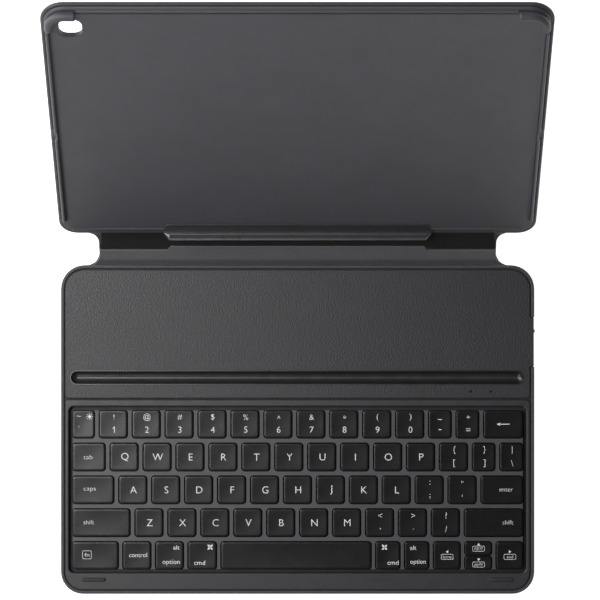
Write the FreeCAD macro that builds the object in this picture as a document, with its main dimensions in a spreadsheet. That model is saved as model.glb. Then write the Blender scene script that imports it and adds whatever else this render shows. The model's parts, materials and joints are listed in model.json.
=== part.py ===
import FreeCAD
import Part

import math
import os

import Sketcher
from FreeCAD import Placement, Rotation, Vector

# Tablet keyboard case. Millimetres; the origin is the centre of the deck's underside,
# X to the user's right, Y away from the user, Z up.
# The cover is one laminate in four stretches: deck, spine, lower flap and upper back.
# Spine pieces are drawn in the spine's own frame (Y along it, from the lower fold), and
# cover pieces in the cover's own frame (Y along it, from the upper fold; Z from the
# outer face towards the tablet), and their Placements carry them to the open position.

DIMENSIONS = {
    # deck
    "deck_width": 257.4,
    "deck_depth": 178.8,
    "deck_front_radius": 12.0,
    "deck_rear_radius": 13.0,
    "deck_top": 8.0,
    "rim_width": 1.8,
    "rim_height": 7.6,
    "skin_floor": 1.2,
    "seam": 0.6,
    "top_plate": 1.2,
    "housing_gap": 0.2,
    "housing_wall": 1.6,
    "housing_floor": 1.0,
    "rib_front": 14.4,
    "rib_back": 18.4,
    "panel_front": 16.8,
    "frame_back": 16.4,
    "plate_inner_radius": 2.0,
    "cavity_radius": 1.0,
    # side port bay, where the rim is cut away
    "bay_front": 34.0,
    "bay_back": 61.1,
    "bay_reach": 128.4,
    "bay_clearance": 0.3,
    # groove for the tablet holder's foot
    "groove_length": 247.4,
    "groove_width": 8.1,
    "groove_shift": -0.2,
    "groove_centre": 28.25,
    "groove_depth": 2.4,
    "liner_gap": 0.1,
    "liner_bottom": 4.6,
    "liner_lip": 0.5,
    "groove_end_share": 0.99,
    # key field
    "well_left": -123.75,
    "well_right": 124.1,
    "well_front": -77.3,
    "well_back": 12.4,
    "well_radius": 2.7,
    "well_flange": 0.9,
    "plate_thickness": 0.7,
    "membrane_thickness": 0.4,
    "plate_inset": 0.2,
    "membrane_inset": 0.6,
    "web_top": 7.3,
    "web_clearance": 0.45,
    "keys_left": -122.2,
    "keys_right": 122.4,
    "keys_back": 10.4,
    "key_pitch": 17.9,
    "row_pitch": 17.85,
    "key_width": 15.15,
    "key_depth": 14.95,
    "key_gap": 2.75,
    "bottom_row_gap": 2.55,
    "arrow_split": 0.5,
    "width_grave": 11.7,
    "width_narrow": 12.2,
    "width_tab": 17.6,
    "width_caps": 22.3,
    "width_shift": 31.1,
    "width_fn": 24.7,
    "width_command": 15.4,
    "width_space": 81.5,
    "width_right_modifier": 13.15,
    "width_arrow": 14.5,
    "key_top": 8.2,
    "key_bottom": 5.9,
    "key_roof": 1.0,
    "key_wall": 1.0,
    "key_corner": 1.3,
    "key_travel": 1.3,
    "stem_radius": 1.5,
    "dome_radius": 2.8,
    "dome_top_radius": 1.6,
    "dome_height": 2.7,
    # pieces inside and on the deck
    "cell_width": 60.0,
    "cell_depth": 42.0,
    "cell_height": 3.6,
    "cell_gap": 2.0,
    "cells_left": -114.0,
    "bay_parts_front": 38.0,
    "board_left": 30.0,
    "board_right": 120.6,
    "board_bottom": 2.6,
    "board_thickness": 1.0,
    "post_radius": 1.6,
    "port_centre": 43.0,
    "port_height": 4.7,
    "port_width": 8.9,
    "port_thickness": 3.2,
    "port_length": 7.4,
    "port_wall": 0.35,
    "port_clearance": 0.15,
    "port_set_back": 0.2,
    "port_back_wall": 1.0,
    "port_end_share": 0.95,
    "port_hole_share": 0.9,
    "tongue_half_width": 3.3,
    "tongue_half_thickness": 0.35,
    "tongue_root": 0.5,
    "tongue_shortfall": 1.6,
    "switch_rest": 53.5,
    "switch_travel": 2.0,
    "switch_length": 1.6,
    "switch_height": 1.6,
    "switch_level": 4.6,
    "switch_reach": 129.0,
    "switch_clearance": 0.3,
    "switch_tab_gap": 0.6,
    "switch_tab_reach": 1.2,
    "switch_tab_rise": 0.5,
    "led_x": 94.0,
    "led_pitch": 11.1,
    "led_y": 20.65,
    "led_radius": 0.5,
    "led_clearance": 0.1,
    "led_bottom": 5.8,
    "led_length": 2.1,
    "bumper_length": 13.0,
    "bumper_width": 2.2,
    "bumper_height": 1.0,
    "bumper_x": 110.8,
    "bumper_y": -81.6,
    "bumper_end_share": 0.95,
    # spine
    "fold_y": 90.8,
    "fold_z": 1.1,
    "spine_length": 17.9,
    "spine_angle": 32.7,
    "spine_width": 216.0,
    "spine_flare": 7.5,
    "fold_gap": 1.5,
    "spine_inset": 1.2,
    "spine_board_radius": 1.0,
    "skin_thickness": 0.8,
    "laminate": 2.2,
    # cover: lower flap and upper back
    "cover_angle": 51.9,
    "cover_width": 257.6,
    "cover_start": 2.2,
    "cover_end": 182.2,
    "mid_fold": 85.0,
    "cover_low_radius": 10.0,
    "cover_top_radius": 12.0,
    "cover_fold_radius": 0.5,
    "board_inset": 1.5,
    "adhesive": 0.3,
    # camera window
    "camera_x": -113.8,
    "camera_u": 165.8,
    "camera_width": 11.8,
    "camera_length": 12.4,
    "camera_radius": 4.5,
    # tablet holder
    "tray_width": 253.4,
    "tray_start": 7.1,
    "tray_end": 180.0,
    "tray_floor": 1.1,
    "tray_low_radius": 7.5,
    "tray_top_radius": 10.5,
    "tray_wall": 1.8,
    "wall_top": 5.6,
    "side_wall_start": 15.0,
    "side_wall_end": 165.0,
    "notch_half": 3.0,
    "notch_depth": 0.9,
    "guard_top": 10.8,
    "guard_curl": 3.4,
    "guard_roof": 1.0,
    "guard_reach": 15.0,
    "guard_drop": 13.0,
    "top_wall_gap": 1.0,
    "lip_half_length": 72.1,
    "lip_bevel": 3.0,
    "lip_foot": 5.0,
    "lip_inner": 8.0,
    "lip_pad": 12.0,
    "lip_pad_thickness": 0.6,
    "lip_shoulder": 7.2,
    "lip_crest": 7.0,
    "lip_crest_end": 7.6,
    "lip_top": 10.6,
    "lip_outer_shoulder": 6.0,
    "lip_clearance": 0.1,
    # how far a cutting shape runs past what it cuts
    "overrun": 1.0,
}

doc = FreeCAD.newDocument("tablet_keyboard_case")
sheet = doc.addObject("Spreadsheet::Sheet", "dims")
for number, (alias, value) in enumerate(DIMENSIONS.items(), start=1):
    sheet.set(f"A{number}", alias)
    sheet.set(f"B{number}", str(value))
    sheet.setAlias(f"B{number}", alias)
doc.recompute()


def size(alias):
    """The sheet's value for one dimension."""
    return float(sheet.get(alias))


def spine_placement():
    """Carries the spine's own frame to its place behind the deck."""
    turn = Rotation(Vector(1, 0, 0), size("spine_angle"))
    pivot = Vector(0, size("fold_y"), size("fold_z"))
    outer_face = turn.multVec(Vector(0, 0, -size("laminate") / 2))
    return Placement(pivot + outer_face, turn)


def upper_fold():
    """The upper fold's axis point: the far end of the spine."""
    angle = math.radians(size("spine_angle"))
    reach = size("spine_length")
    return Vector(0, size("fold_y") + reach * math.cos(angle), size("fold_z") + reach * math.sin(angle))


def cover_placement():
    """Carries the cover's own frame to its open position behind the spine."""
    turn = Rotation(Vector(1, 0, 0), size("cover_angle"))
    outer_face = turn.multVec(Vector(0, 0, -size("laminate") / 2))
    return Placement(upper_fold() + outer_face, turn)


# ---------------------------------------------------------------- sketches and features


def new_body(label, placement=None):
    body = doc.addObject("PartDesign::Body", label)
    body.Label = label
    if placement is not None:
        body.Placement = placement
    return body


def new_sketch(body, name, role="XY_Plane", level="0"):
    """A sketch on one of the body's own origin planes, lifted by an expression."""
    sketch = body.newObject("Sketcher::SketchObject", f"{body.Label}_{name}")
    plane = next(item for item in body.Origin.OriginFeatures if item.Role == role)
    sketch.AttachmentSupport = [(plane, "")]
    sketch.MapMode = "FlatFace"
    sketch.setExpression("AttachmentOffset.Base.z", level)
    return sketch


def bind(sketch, constraint, expression):
    index = sketch.addConstraint(constraint)
    sketch.setExpression(f"Constraints[{index}]", expression)


def read(sketch, expression):
    return float(sketch.evalExpression(expression))


def rectangle(sketch, low_x, high_x, low_y, high_y):
    """A sharp rectangle whose four limits are expressions."""
    x0, x1, y0, y1 = (read(sketch, text) for text in (low_x, high_x, low_y, high_y))
    corners = [Vector(x0, y0, 0), Vector(x1, y0, 0), Vector(x1, y1, 0), Vector(x0, y1, 0)]
    polygon(sketch, corners, [(low_x, low_y), (high_x, low_y), (high_x, high_y), (low_x, high_y)])


def polygon(sketch, corners, expressions):
    """A closed outline of straight sides, each corner held by two expressions."""
    first = sketch.GeometryCount
    count = len(corners)
    for i in range(count):
        sketch.addGeometry(Part.LineSegment(corners[i], corners[(i + 1) % count]), False)
    for i in range(count):
        following = first + (i + 1) % count
        sketch.addConstraint(Sketcher.Constraint("Coincident", first + i, 2, following, 1))
    for i, (x_text, y_text) in enumerate(expressions):
        line = first + i
        bind(sketch, Sketcher.Constraint("DistanceX", -1, 1, line, 1, corners[i].x), x_text)
        bind(sketch, Sketcher.Constraint("DistanceY", -1, 1, line, 1, corners[i].y), y_text)


def free_polygon(sketch, points):
    """A closed outline through points given as pairs of expressions."""
    corners = [Vector(read(sketch, x), read(sketch, y), 0) for x, y in points]
    polygon(sketch, corners, points)


def rounded(sketch, low_x, high_x, low_y, high_y, low_radius, high_radius=None):
    """A rectangle with rounded corners: one radius at its low-Y side and one at its high-Y side."""
    high_radius = high_radius or low_radius
    texts = (low_x, high_x, low_y, high_y, low_radius, high_radius)
    x0, x1, y0, y1, ra, rb = (read(sketch, text) for text in texts)
    first = sketch.GeometryCount
    up = Vector(0, 0, 1)
    quarter = math.pi / 2

    def line(ax, ay, bx, by):
        sketch.addGeometry(Part.LineSegment(Vector(ax, ay, 0), Vector(bx, by, 0)), False)

    def corner(cx, cy, radius, turn):
        circle = Part.Circle(Vector(cx, cy, 0), up, radius)
        sketch.addGeometry(Part.ArcOfCircle(circle, turn * quarter, (turn + 1) * quarter), False)

    line(x0 + ra, y0, x1 - ra, y0)
    corner(x1 - ra, y0 + ra, ra, 3)
    line(x1, y0 + ra, x1, y1 - rb)
    corner(x1 - rb, y1 - rb, rb, 0)
    line(x1 - rb, y1, x0 + rb, y1)
    corner(x0 + rb, y1 - rb, rb, 1)
    line(x0, y1 - rb, x0, y0 + ra)
    corner(x0 + ra, y0 + ra, ra, 2)
    for i in range(8):
        following = first + (i + 1) % 8
        sketch.addConstraint(Sketcher.Constraint("Tangent", first + i, 2, following, 1))
    for i in (0, 4):
        sketch.addConstraint(Sketcher.Constraint("Horizontal", first + i))
    for i in (2, 6):
        sketch.addConstraint(Sketcher.Constraint("Vertical", first + i))
    sketch.addConstraint(Sketcher.Constraint("Equal", first + 1, first + 7))
    sketch.addConstraint(Sketcher.Constraint("Equal", first + 3, first + 5))
    bind(sketch, Sketcher.Constraint("Radius", first + 1, ra), low_radius)
    bind(sketch, Sketcher.Constraint("Radius", first + 3, rb), high_radius)
    bind(sketch, Sketcher.Constraint("DistanceX", -1, 1, first + 2, 1, x1), high_x)
    bind(sketch, Sketcher.Constraint("DistanceX", -1, 1, first + 6, 1, x0), low_x)
    bind(sketch, Sketcher.Constraint("DistanceY", -1, 1, first, 1, y0), low_y)
    bind(sketch, Sketcher.Constraint("DistanceY", -1, 1, first + 4, 1, y1), high_y)


def circle(sketch, centre_x, centre_y, radius):
    x, y, r = (read(sketch, text) for text in (centre_x, centre_y, radius))
    index = sketch.addGeometry(Part.Circle(Vector(x, y, 0), Vector(0, 0, 1), r), False)
    bind(sketch, Sketcher.Constraint("Radius", index, r), radius)
    bind(sketch, Sketcher.Constraint("DistanceX", -1, 1, index, 3, x), centre_x)
    bind(sketch, Sketcher.Constraint("DistanceY", -1, 1, index, 3, y), centre_y)


def pad(body, sketch, length, midplane=False, backwards=False):
    feature = body.newObject("PartDesign::Pad", f"{sketch.Name}_pad")
    feature.Profile = sketch
    feature.Midplane = midplane
    feature.Reversed = backwards
    feature.setExpression("Length", length)
    doc.recompute()
    return feature


def pocket(body, sketch, length, midplane=False):
    """Cuts below the sketch (both ways with midplane), and makes sure that it did cut."""
    before = body.Shape.Volume
    feature = body.newObject("PartDesign::Pocket", f"{sketch.Name}_cut")
    feature.Profile = sketch
    feature.Midplane = midplane
    feature.setExpression("Length", length)
    doc.recompute()
    if body.Shape.Volume >= before:
        raise RuntimeError(f"{feature.Name} cuts nothing")
    return feature


def box(name, low_x, high_x, low_y, high_y, low_z, high_z):
    """A Part::Box whose six limits are expressions."""
    solid = doc.addObject("Part::Box", name)
    for side, low, high in (("Length", low_x, high_x), ("Width", low_y, high_y), ("Height", low_z, high_z)):
        solid.setExpression(side, f"({high}) - ({low})")
    for axis, low in (("x", low_x), ("y", low_y), ("z", low_z)):
        solid.setExpression(f"Placement.Base.{axis}", low)
    return solid


def cylinder(name, centre_x, centre_y, low_z, radius, height):
    solid = doc.addObject("Part::Cylinder", name)
    solid.setExpression("Radius", radius)
    solid.setExpression("Height", height)
    for axis, text in (("x", centre_x), ("y", centre_y), ("z", low_z)):
        solid.setExpression(f"Placement.Base.{axis}", text)
    return solid


def cut(name, base, tool):
    result = doc.addObject("Part::Cut", name)
    result.Base = base
    result.Tool = tool
    return result


def fuse(name, pieces):
    result = doc.addObject("Part::MultiFuse", name)
    result.Shapes = pieces
    return result


def group(label, pieces):
    """Separate solids that share one node."""
    result = doc.addObject("Part::Compound", label)
    result.Links = pieces
    result.Label = label
    return result


# ---------------------------------------------------------------- deck

HALF_WIDTH = "dims.deck_width / 2"
HALF_DEPTH = "dims.deck_depth / 2"
HOUSING_EDGE = "(dims.rim_width + dims.housing_gap)"
CAVITY_EDGE = "(dims.rim_width + dims.housing_gap + dims.housing_wall)"
PLATE_EDGE = "(dims.rim_width + dims.seam)"
PLATE_BOTTOM = "dims.deck_top - dims.top_plate"
FLOOR_TOP = "dims.skin_floor + dims.housing_floor"


def deck_outline(sketch, inset="0", low_y=None, high_y=None, low_radius=None, high_radius=None):
    """The deck's outline moved in by an inset; a plate that stops short gives its own end and radius."""
    rounded(
        sketch,
        f"-({HALF_WIDTH}) + {inset}",
        f"{HALF_WIDTH} - {inset}",
        low_y or f"-({HALF_DEPTH}) + {inset}",
        high_y or f"{HALF_DEPTH} - {inset}",
        low_radius or f"dims.deck_front_radius - {inset}",
        high_radius or f"dims.deck_rear_radius - {inset}",
    )


def make_deck_cover_skin():
    body = new_body("deck_cover_skin")
    outline = new_sketch(body, "outline")
    deck_outline(outline)
    pad(body, outline, "dims.rim_height")
    inside = new_sketch(body, "inside", level="dims.rim_height")
    deck_outline(inside, "dims.rim_width")
    pocket(body, inside, "dims.rim_height - dims.skin_floor")
    bay = new_sketch(body, "bay", level="dims.rim_height")
    rectangle(
        bay,
        f"{HALF_WIDTH} - dims.rim_width - dims.seam",
        f"{HALF_WIDTH} + dims.seam",
        "dims.bay_front",
        "dims.bay_back",
    )
    pocket(body, bay, "dims.rim_height - dims.skin_floor")
    return body


def bay_block(sketch, inner):
    """The stretch that runs out to the deck's edge where the rim is cut away."""
    rectangle(
        sketch,
        inner,
        "dims.bay_reach",
        "dims.bay_front + dims.bay_clearance",
        "dims.bay_back - dims.bay_clearance",
    )


def make_base_housing():
    body = new_body("base_housing")
    outline = new_sketch(body, "outline", level="dims.skin_floor")
    deck_outline(outline, HOUSING_EDGE)
    height = f"({PLATE_BOTTOM}) - dims.skin_floor"
    pad(body, outline, height)
    block = new_sketch(body, "block", level="dims.skin_floor")
    bay_block(block, f"{HALF_WIDTH} - {CAVITY_EDGE}")
    pad(body, block, height)
    depth = f"({PLATE_BOTTOM}) - ({FLOOR_TOP})"
    front = new_sketch(body, "front_cavity", level=PLATE_BOTTOM)
    deck_outline(front, CAVITY_EDGE, high_y="dims.rib_front", high_radius="dims.cavity_radius")
    pocket(body, front, depth)
    rear = new_sketch(body, "rear_cavity", level=PLATE_BOTTOM)
    deck_outline(rear, CAVITY_EDGE, low_y="dims.rib_back", low_radius="dims.cavity_radius")
    pocket(body, rear, depth)
    port = new_sketch(body, "port", "YZ_Plane", level="dims.bay_reach + dims.overrun")
    half_width = "(dims.port_width / 2 + dims.port_clearance)"
    half_height = "(dims.port_thickness / 2 + dims.port_clearance)"
    rounded(
        port,
        f"dims.port_centre - {half_width}",
        f"dims.port_centre + {half_width}",
        f"dims.port_height - {half_height}",
        f"dims.port_height + {half_height}",
        f"{half_height} * dims.port_hole_share",
    )
    pocket(body, port, "dims.port_length")
    slot = new_sketch(body, "switch_slot", "YZ_Plane", level="dims.bay_reach + dims.overrun")
    reach = "(dims.switch_length / 2 + dims.switch_clearance)"
    rise = "(dims.switch_height / 2 + dims.switch_clearance)"
    rectangle(
        slot,
        f"dims.switch_rest - dims.switch_travel - {reach}",
        f"dims.switch_rest + {reach}",
        f"dims.switch_level - {rise}",
        f"dims.switch_level + {rise}",
    )
    pocket(body, slot, "dims.port_length")
    return body


def well(sketch, grow="0"):
    rounded(
        sketch,
        f"dims.well_left - {grow}",
        f"dims.well_right + {grow}",
        f"dims.well_front - {grow}",
        f"dims.well_back + {grow}",
        f"dims.well_radius + {grow}",
    )


def make_key_frame():
    body = new_body("key_frame")
    plate = new_sketch(body, "plate", level=PLATE_BOTTOM)
    deck_outline(plate, PLATE_EDGE, high_y="dims.frame_back", high_radius="dims.plate_inner_radius")
    well(plate)
    pad(body, plate, "dims.top_plate")
    flange_bottom = f"{FLOOR_TOP} + dims.plate_thickness + dims.membrane_thickness"
    flange = new_sketch(body, "flange", level=flange_bottom)
    well(flange, "dims.well_flange")
    well(flange)
    pad(body, flange, f"({PLATE_BOTTOM}) - ({flange_bottom})")
    return body


def make_stand_panel():
    body = new_body("stand_panel")
    plate = new_sketch(body, "plate", level=PLATE_BOTTOM)
    deck_outline(plate, PLATE_EDGE, low_y="dims.panel_front", low_radius="dims.plate_inner_radius")
    pad(body, plate, "dims.top_plate")
    tab = new_sketch(body, "tab", level=PLATE_BOTTOM)
    bay_block(tab, f"{HALF_WIDTH} - {CAVITY_EDGE}")
    pad(body, tab, "dims.top_plate")
    groove = new_sketch(body, "groove", level="dims.deck_top")
    rounded(
        groove,
        "dims.groove_shift - dims.groove_length / 2",
        "dims.groove_shift + dims.groove_length / 2",
        "dims.groove_centre - dims.groove_width / 2",
        "dims.groove_centre + dims.groove_width / 2",
        "dims.groove_width / 2 * dims.groove_end_share",
    )
    pocket(body, groove, "dims.top_plate")
    holes = new_sketch(body, "led_holes", level="dims.deck_top")
    hole_radius = "dims.led_radius + dims.led_clearance"
    for i in range(2):
        circle(holes, f"dims.led_x + {i} * dims.led_pitch", "dims.led_y", hole_radius)
    pocket(body, holes, "dims.top_plate")
    return body


def make_groove_liner():
    """A trough of round section with round ends, let into the panel's slot."""
    body = new_body("groove_liner")
    block = new_sketch(body, "block", level="dims.liner_bottom")
    half_width = "(dims.groove_width / 2 - dims.liner_gap)"
    rounded(
        block,
        "dims.groove_shift - dims.groove_length / 2 + dims.liner_gap",
        "dims.groove_shift + dims.groove_length / 2 - dims.liner_gap",
        f"dims.groove_centre - {half_width}",
        f"dims.groove_centre + {half_width}",
        f"{half_width} * dims.groove_end_share",
    )
    pad(body, block, "dims.deck_top - dims.liner_bottom")
    half_mouth = size("groove_width") / 2 - size("liner_gap") - size("liner_lip")
    depth = size("groove_depth")
    radius = (half_mouth**2 + depth**2) / (2 * depth)
    centre_z = size("deck_top") - depth + radius
    half_run = size("groove_length") / 2 - size("groove_width") / 2
    middle = Vector(size("groove_shift"), size("groove_centre"), centre_z)
    trough = Part.makeCylinder(radius, 2 * half_run, middle - Vector(half_run, 0, 0), Vector(1, 0, 0))
    for side in (-1, 1):
        trough = trough.fuse(Part.makeSphere(radius, middle + Vector(side * half_run, 0, 0)))
    liner = doc.addObject("Part::Feature", "groove_trough")
    liner.Shape = body.Shape.cut(trough)
    body.Label = "groove_liner_blank"
    liner.Label = "groove_liner"
    return liner


# ---------------------------------------------------------------- keys

LETTER_ROWS = {1: "qwertyuiop", 2: "asdfghjkl", 3: "zxcvbnm"}


def key_layout():
    """Every key: its node, its row from the back, its left limit and its width, as expressions."""
    keys = []

    def run(row, gap, entries):
        """Lays one row from the left; the last key ends at the key field's right limit."""
        left = "dims.keys_left"
        for i, (node, width) in enumerate(entries):
            if i == len(entries) - 1:
                width = f"(dims.keys_right - ({left}))"
            keys.append((node, row, left, width))
            left = f"{left} + {width} + {gap}"

    gap = "dims.key_gap"
    letter = {row: [(f"key_{c}", "dims.key_width") for c in text] for row, text in LETTER_ROWS.items()}
    number = ("number_row_keys", "dims.key_width")
    narrow_number = ("number_row_keys", "dims.width_narrow")
    sign = ("punctuation_keys", "dims.key_width")
    narrow_sign = ("punctuation_keys", "dims.width_narrow")
    # the last key of each row takes what is left of it
    rest = "0"
    grave = ("number_row_keys", "dims.width_grave")
    tab = ("key_tab", "dims.width_tab")
    caps_lock = ("key_caps_lock", "dims.width_caps")
    left_shift = ("key_shift_left", "dims.width_shift")
    run(0, gap, [grave] + [number] * 10 + [narrow_number] * 2 + [("key_backspace", rest)])
    run(1, gap, [tab] + letter[1] + [sign, narrow_sign, ("punctuation_keys", rest)])
    run(2, gap, [caps_lock] + letter[2] + [sign] * 2 + [("key_enter", rest)])
    run(3, gap, [left_shift] + letter[3] + [sign] * 3 + [("key_shift_right", rest)])
    modifier = ("function_keys", "dims.key_width")
    right_modifier = ("function_keys", "dims.width_right_modifier")
    arrow = ("arrow_keys", "dims.width_arrow")
    run(
        4,
        "dims.bottom_row_gap",
        [
            ("function_keys", "dims.width_fn"),
            modifier,
            modifier,
            ("function_keys", "dims.width_command"),
            ("key_space", "dims.width_space"),
            right_modifier,
            right_modifier,
            arrow,
            ("arrow_pair", "dims.width_arrow"),
            ("arrow_keys", rest),
        ],
    )
    return keys


def key_rows(row):
    """A row's front and back limits, as expressions."""
    back = f"dims.keys_back - {row} * dims.row_pitch"
    return f"{back} - dims.key_depth", back


def key_cap(name, left, right, front, back):
    """A hollow cap with rounded upright edges and a stem under its roof."""
    block = box(f"{name}_block", left, right, front, back, "dims.key_bottom", "dims.key_top")
    doc.recompute([block])
    radius = size("key_corner")
    upright = []
    for i, edge in enumerate(block.Shape.Edges, start=1):
        if edge.BoundBox.ZLength > size("key_roof"):
            upright.append(i)
    rounded_block = doc.addObject("Part::Fillet", f"{name}_rounded")
    rounded_block.Base = block
    rounded_block.Edges = [(i, radius, radius) for i in upright]
    wall = "dims.key_wall"
    hollow = box(
        f"{name}_hollow",
        f"{left} + {wall}",
        f"{right} - {wall}",
        f"{front} + {wall}",
        f"{back} - {wall}",
        "dims.key_bottom - dims.overrun",
        "dims.key_top - dims.key_roof",
    )
    shell = cut(f"{name}_shell", rounded_block, hollow)
    stem_bottom = f"{FLOOR_TOP} + dims.plate_thickness + dims.membrane_thickness + dims.dome_height"
    stem = cylinder(
        f"{name}_stem",
        f"({left} + {right}) / 2",
        f"({front} + {back}) / 2",
        stem_bottom,
        "dims.stem_radius",
        f"dims.key_top - dims.key_roof / 2 - ({stem_bottom})",
    )
    return fuse(name, [shell, stem])


def make_keys():
    """The key nodes, the cell that each place takes in the web, and the seat under each cap."""
    caps = {}
    cells = []
    seats = []
    for number, (node, row, left, width) in enumerate(key_layout()):
        front, back = key_rows(row)
        right = f"{left} + {width}"
        cells.append((left, right, front, back))
        seat_limits = [(front, back)]
        if node == "arrow_pair":
            # the up and down keys share one place, split across its middle
            half = "((dims.key_depth - dims.arrow_split) / 2)"
            seat_limits = [(front, f"{front} + {half}"), (f"{back} - {half}", back)]
            node = "arrow_keys"
        for part, (low, high) in enumerate(seat_limits):
            seats.append((left, right, low, high))
            caps.setdefault(node, []).append(key_cap(f"cap_{number}_{part}", left, right, low, high))
    nodes = []
    for node, pieces in caps.items():
        if len(pieces) == 1:
            pieces[0].Label = node
            nodes.append(pieces[0])
        else:
            nodes.append(group(node, pieces))
    return nodes, cells, seats


def make_key_web(key_cells):
    """The lattice between the keys: the key field less a cell round every key."""
    floor = f"{FLOOR_TOP} + dims.plate_thickness + dims.membrane_thickness"
    front = "dims.keys_back - 4 * dims.row_pitch - dims.key_depth"
    field_limits = ("dims.keys_left", "dims.keys_right", front, "dims.keys_back")
    field = box("web_field", *field_limits, floor, "dims.web_top")
    room = "dims.web_clearance"
    cells = []
    for i, (x0, x1, y0, y1) in enumerate(key_cells):
        limits = (f"{x0} - {room}", f"{x1} + {room}", f"{y0} - {room}", f"{y1} + {room}")
        cells.append(box(f"cell_{i}", *limits, "0", "dims.deck_top"))
    web = cut("web", field, group("web_cells", cells))
    web.Label = "key_web"
    return web


def make_rubber_domes(seats):
    domes = []
    floor = f"{FLOOR_TOP} + dims.plate_thickness + dims.membrane_thickness"
    for i, (x0, x1, y0, y1) in enumerate(seats):
        dome = doc.addObject("Part::Cone", f"dome_{i}")
        dome.setExpression("Radius1", "dims.dome_radius")
        dome.setExpression("Radius2", "dims.dome_top_radius")
        dome.setExpression("Height", "dims.dome_height")
        dome.setExpression("Placement.Base.x", f"({x0} + {x1}) / 2")
        dome.setExpression("Placement.Base.y", f"({y0} + {y1}) / 2")
        dome.setExpression("Placement.Base.z", floor)
        domes.append(dome)
    return group("rubber_domes", domes)


def key_sheet(label, bottom, thickness, inset):
    """A thin sheet under the whole key field."""
    body = new_body(label)
    outline = new_sketch(body, "outline", level=bottom)
    well(outline, f"dims.well_flange - {inset}")
    pad(body, outline, thickness)
    return body


# ---------------------------------------------------------------- pieces in and on the deck


def make_battery_pack():
    cells = []
    for i in range(2):
        left = f"dims.cells_left + {i} * (dims.cell_width + dims.cell_gap)"
        cells.append(
            box(
                f"cell_block_{i}",
                left,
                f"{left} + dims.cell_width",
                "dims.bay_parts_front",
                "dims.bay_parts_front + dims.cell_depth",
                FLOOR_TOP,
                f"{FLOOR_TOP} + dims.cell_height",
            )
        )
    return group("battery_pack", cells)


# what stands on the control board: left, front, width, depth and height
BOARD_PARTS = {
    "radio_can": (40, 44, 18, 12, 1.8),
    "controller": (68, 50, 9, 9, 1.0),
    "battery_connector": (34, 68, 8, 5, 2.2),
}
POST_COLUMNS = (45, 110)
POST_ROWS = (41, 77)


def make_control_board():
    """A bare board with its radio can, its controller and its battery connector."""
    top = "dims.board_bottom + dims.board_thickness"
    board = box(
        "board_blank",
        "dims.board_left",
        "dims.board_right",
        "dims.bay_parts_front",
        "dims.bay_parts_front + dims.cell_depth",
        "dims.board_bottom",
        top,
    )
    pieces = [board]
    for name, (left, front, width, depth, rise) in BOARD_PARTS.items():
        limits = (f"{left}", f"{left + width}", f"{front}", f"{front + depth}")
        pieces.append(box(name, *limits, top, f"{top} + {rise}"))
    for x in POST_COLUMNS:
        for y in POST_ROWS:
            post = (f"{x}", f"{y}", FLOOR_TOP, "dims.post_radius", f"{top} - ({FLOOR_TOP})")
            pieces.append(cylinder(f"board_post_{x}_{y}", *post))
    board_set = fuse("board_set", pieces)
    board_set.Label = "control_board"
    return board_set


def make_charging_port():
    """A socket's metal shell, open towards the deck's right side, with its tongue."""
    body = new_body("charging_port")
    mouth_level = "dims.bay_reach - dims.port_set_back"
    shell = new_sketch(body, "shell", "YZ_Plane", level=mouth_level)

    def outline(sketch, inset):
        rounded(
            sketch,
            f"dims.port_centre - dims.port_width / 2 + {inset}",
            f"dims.port_centre + dims.port_width / 2 - {inset}",
            f"dims.port_height - dims.port_thickness / 2 + {inset}",
            f"dims.port_height + dims.port_thickness / 2 - {inset}",
            f"(dims.port_thickness / 2 - {inset}) * dims.port_end_share",
        )

    outline(shell, "0")
    pad(body, shell, "dims.port_length", backwards=True)
    mouth = new_sketch(body, "mouth", "YZ_Plane", level=mouth_level)
    outline(mouth, "dims.port_wall")
    pocket(body, mouth, "dims.port_length - dims.port_back_wall")
    root_level = f"{mouth_level} - dims.port_length + dims.tongue_root"
    tongue = new_sketch(body, "tongue", "YZ_Plane", level=root_level)
    rectangle(
        tongue,
        "dims.port_centre - dims.tongue_half_width",
        "dims.port_centre + dims.tongue_half_width",
        "dims.port_height - dims.tongue_half_thickness",
        "dims.port_height + dims.tongue_half_thickness",
    )
    pad(body, tongue, "dims.port_length - dims.tongue_shortfall")
    return body


def make_power_switch():
    """The slider: a nub in the bay's slot and the tab behind the wall that keeps it in."""
    half = "dims.switch_length / 2"
    rise = "dims.switch_height / 2"
    nub = box(
        "switch_nub",
        "dims.board_right + dims.switch_tab_reach",
        "dims.switch_reach",
        f"dims.switch_rest - {half}",
        f"dims.switch_rest + {half}",
        f"dims.switch_level - {rise}",
        f"dims.switch_level + {rise}",
    )
    tab = box(
        "switch_tab",
        "dims.board_right + dims.switch_tab_gap",
        f"{HALF_WIDTH} - {CAVITY_EDGE} - dims.switch_tab_gap",
        f"dims.switch_rest - {half} - dims.switch_tab_reach",
        f"dims.switch_rest + {half} + dims.switch_tab_reach",
        f"dims.switch_level - {rise} - dims.switch_tab_rise",
        f"dims.switch_level + {rise} + dims.switch_tab_rise",
    )
    switch = fuse("switch", [nub, tab])
    switch.Label = "power_switch"
    return switch


def make_status_leds():
    pipes = [
        cylinder(
            f"light_pipe_{i}",
            f"dims.led_x + {i} * dims.led_pitch",
            "dims.led_y",
            "dims.led_bottom",
            "dims.led_radius",
            "dims.led_length",
        )
        for i in range(2)
    ]
    return group("status_leds", pipes)


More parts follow.
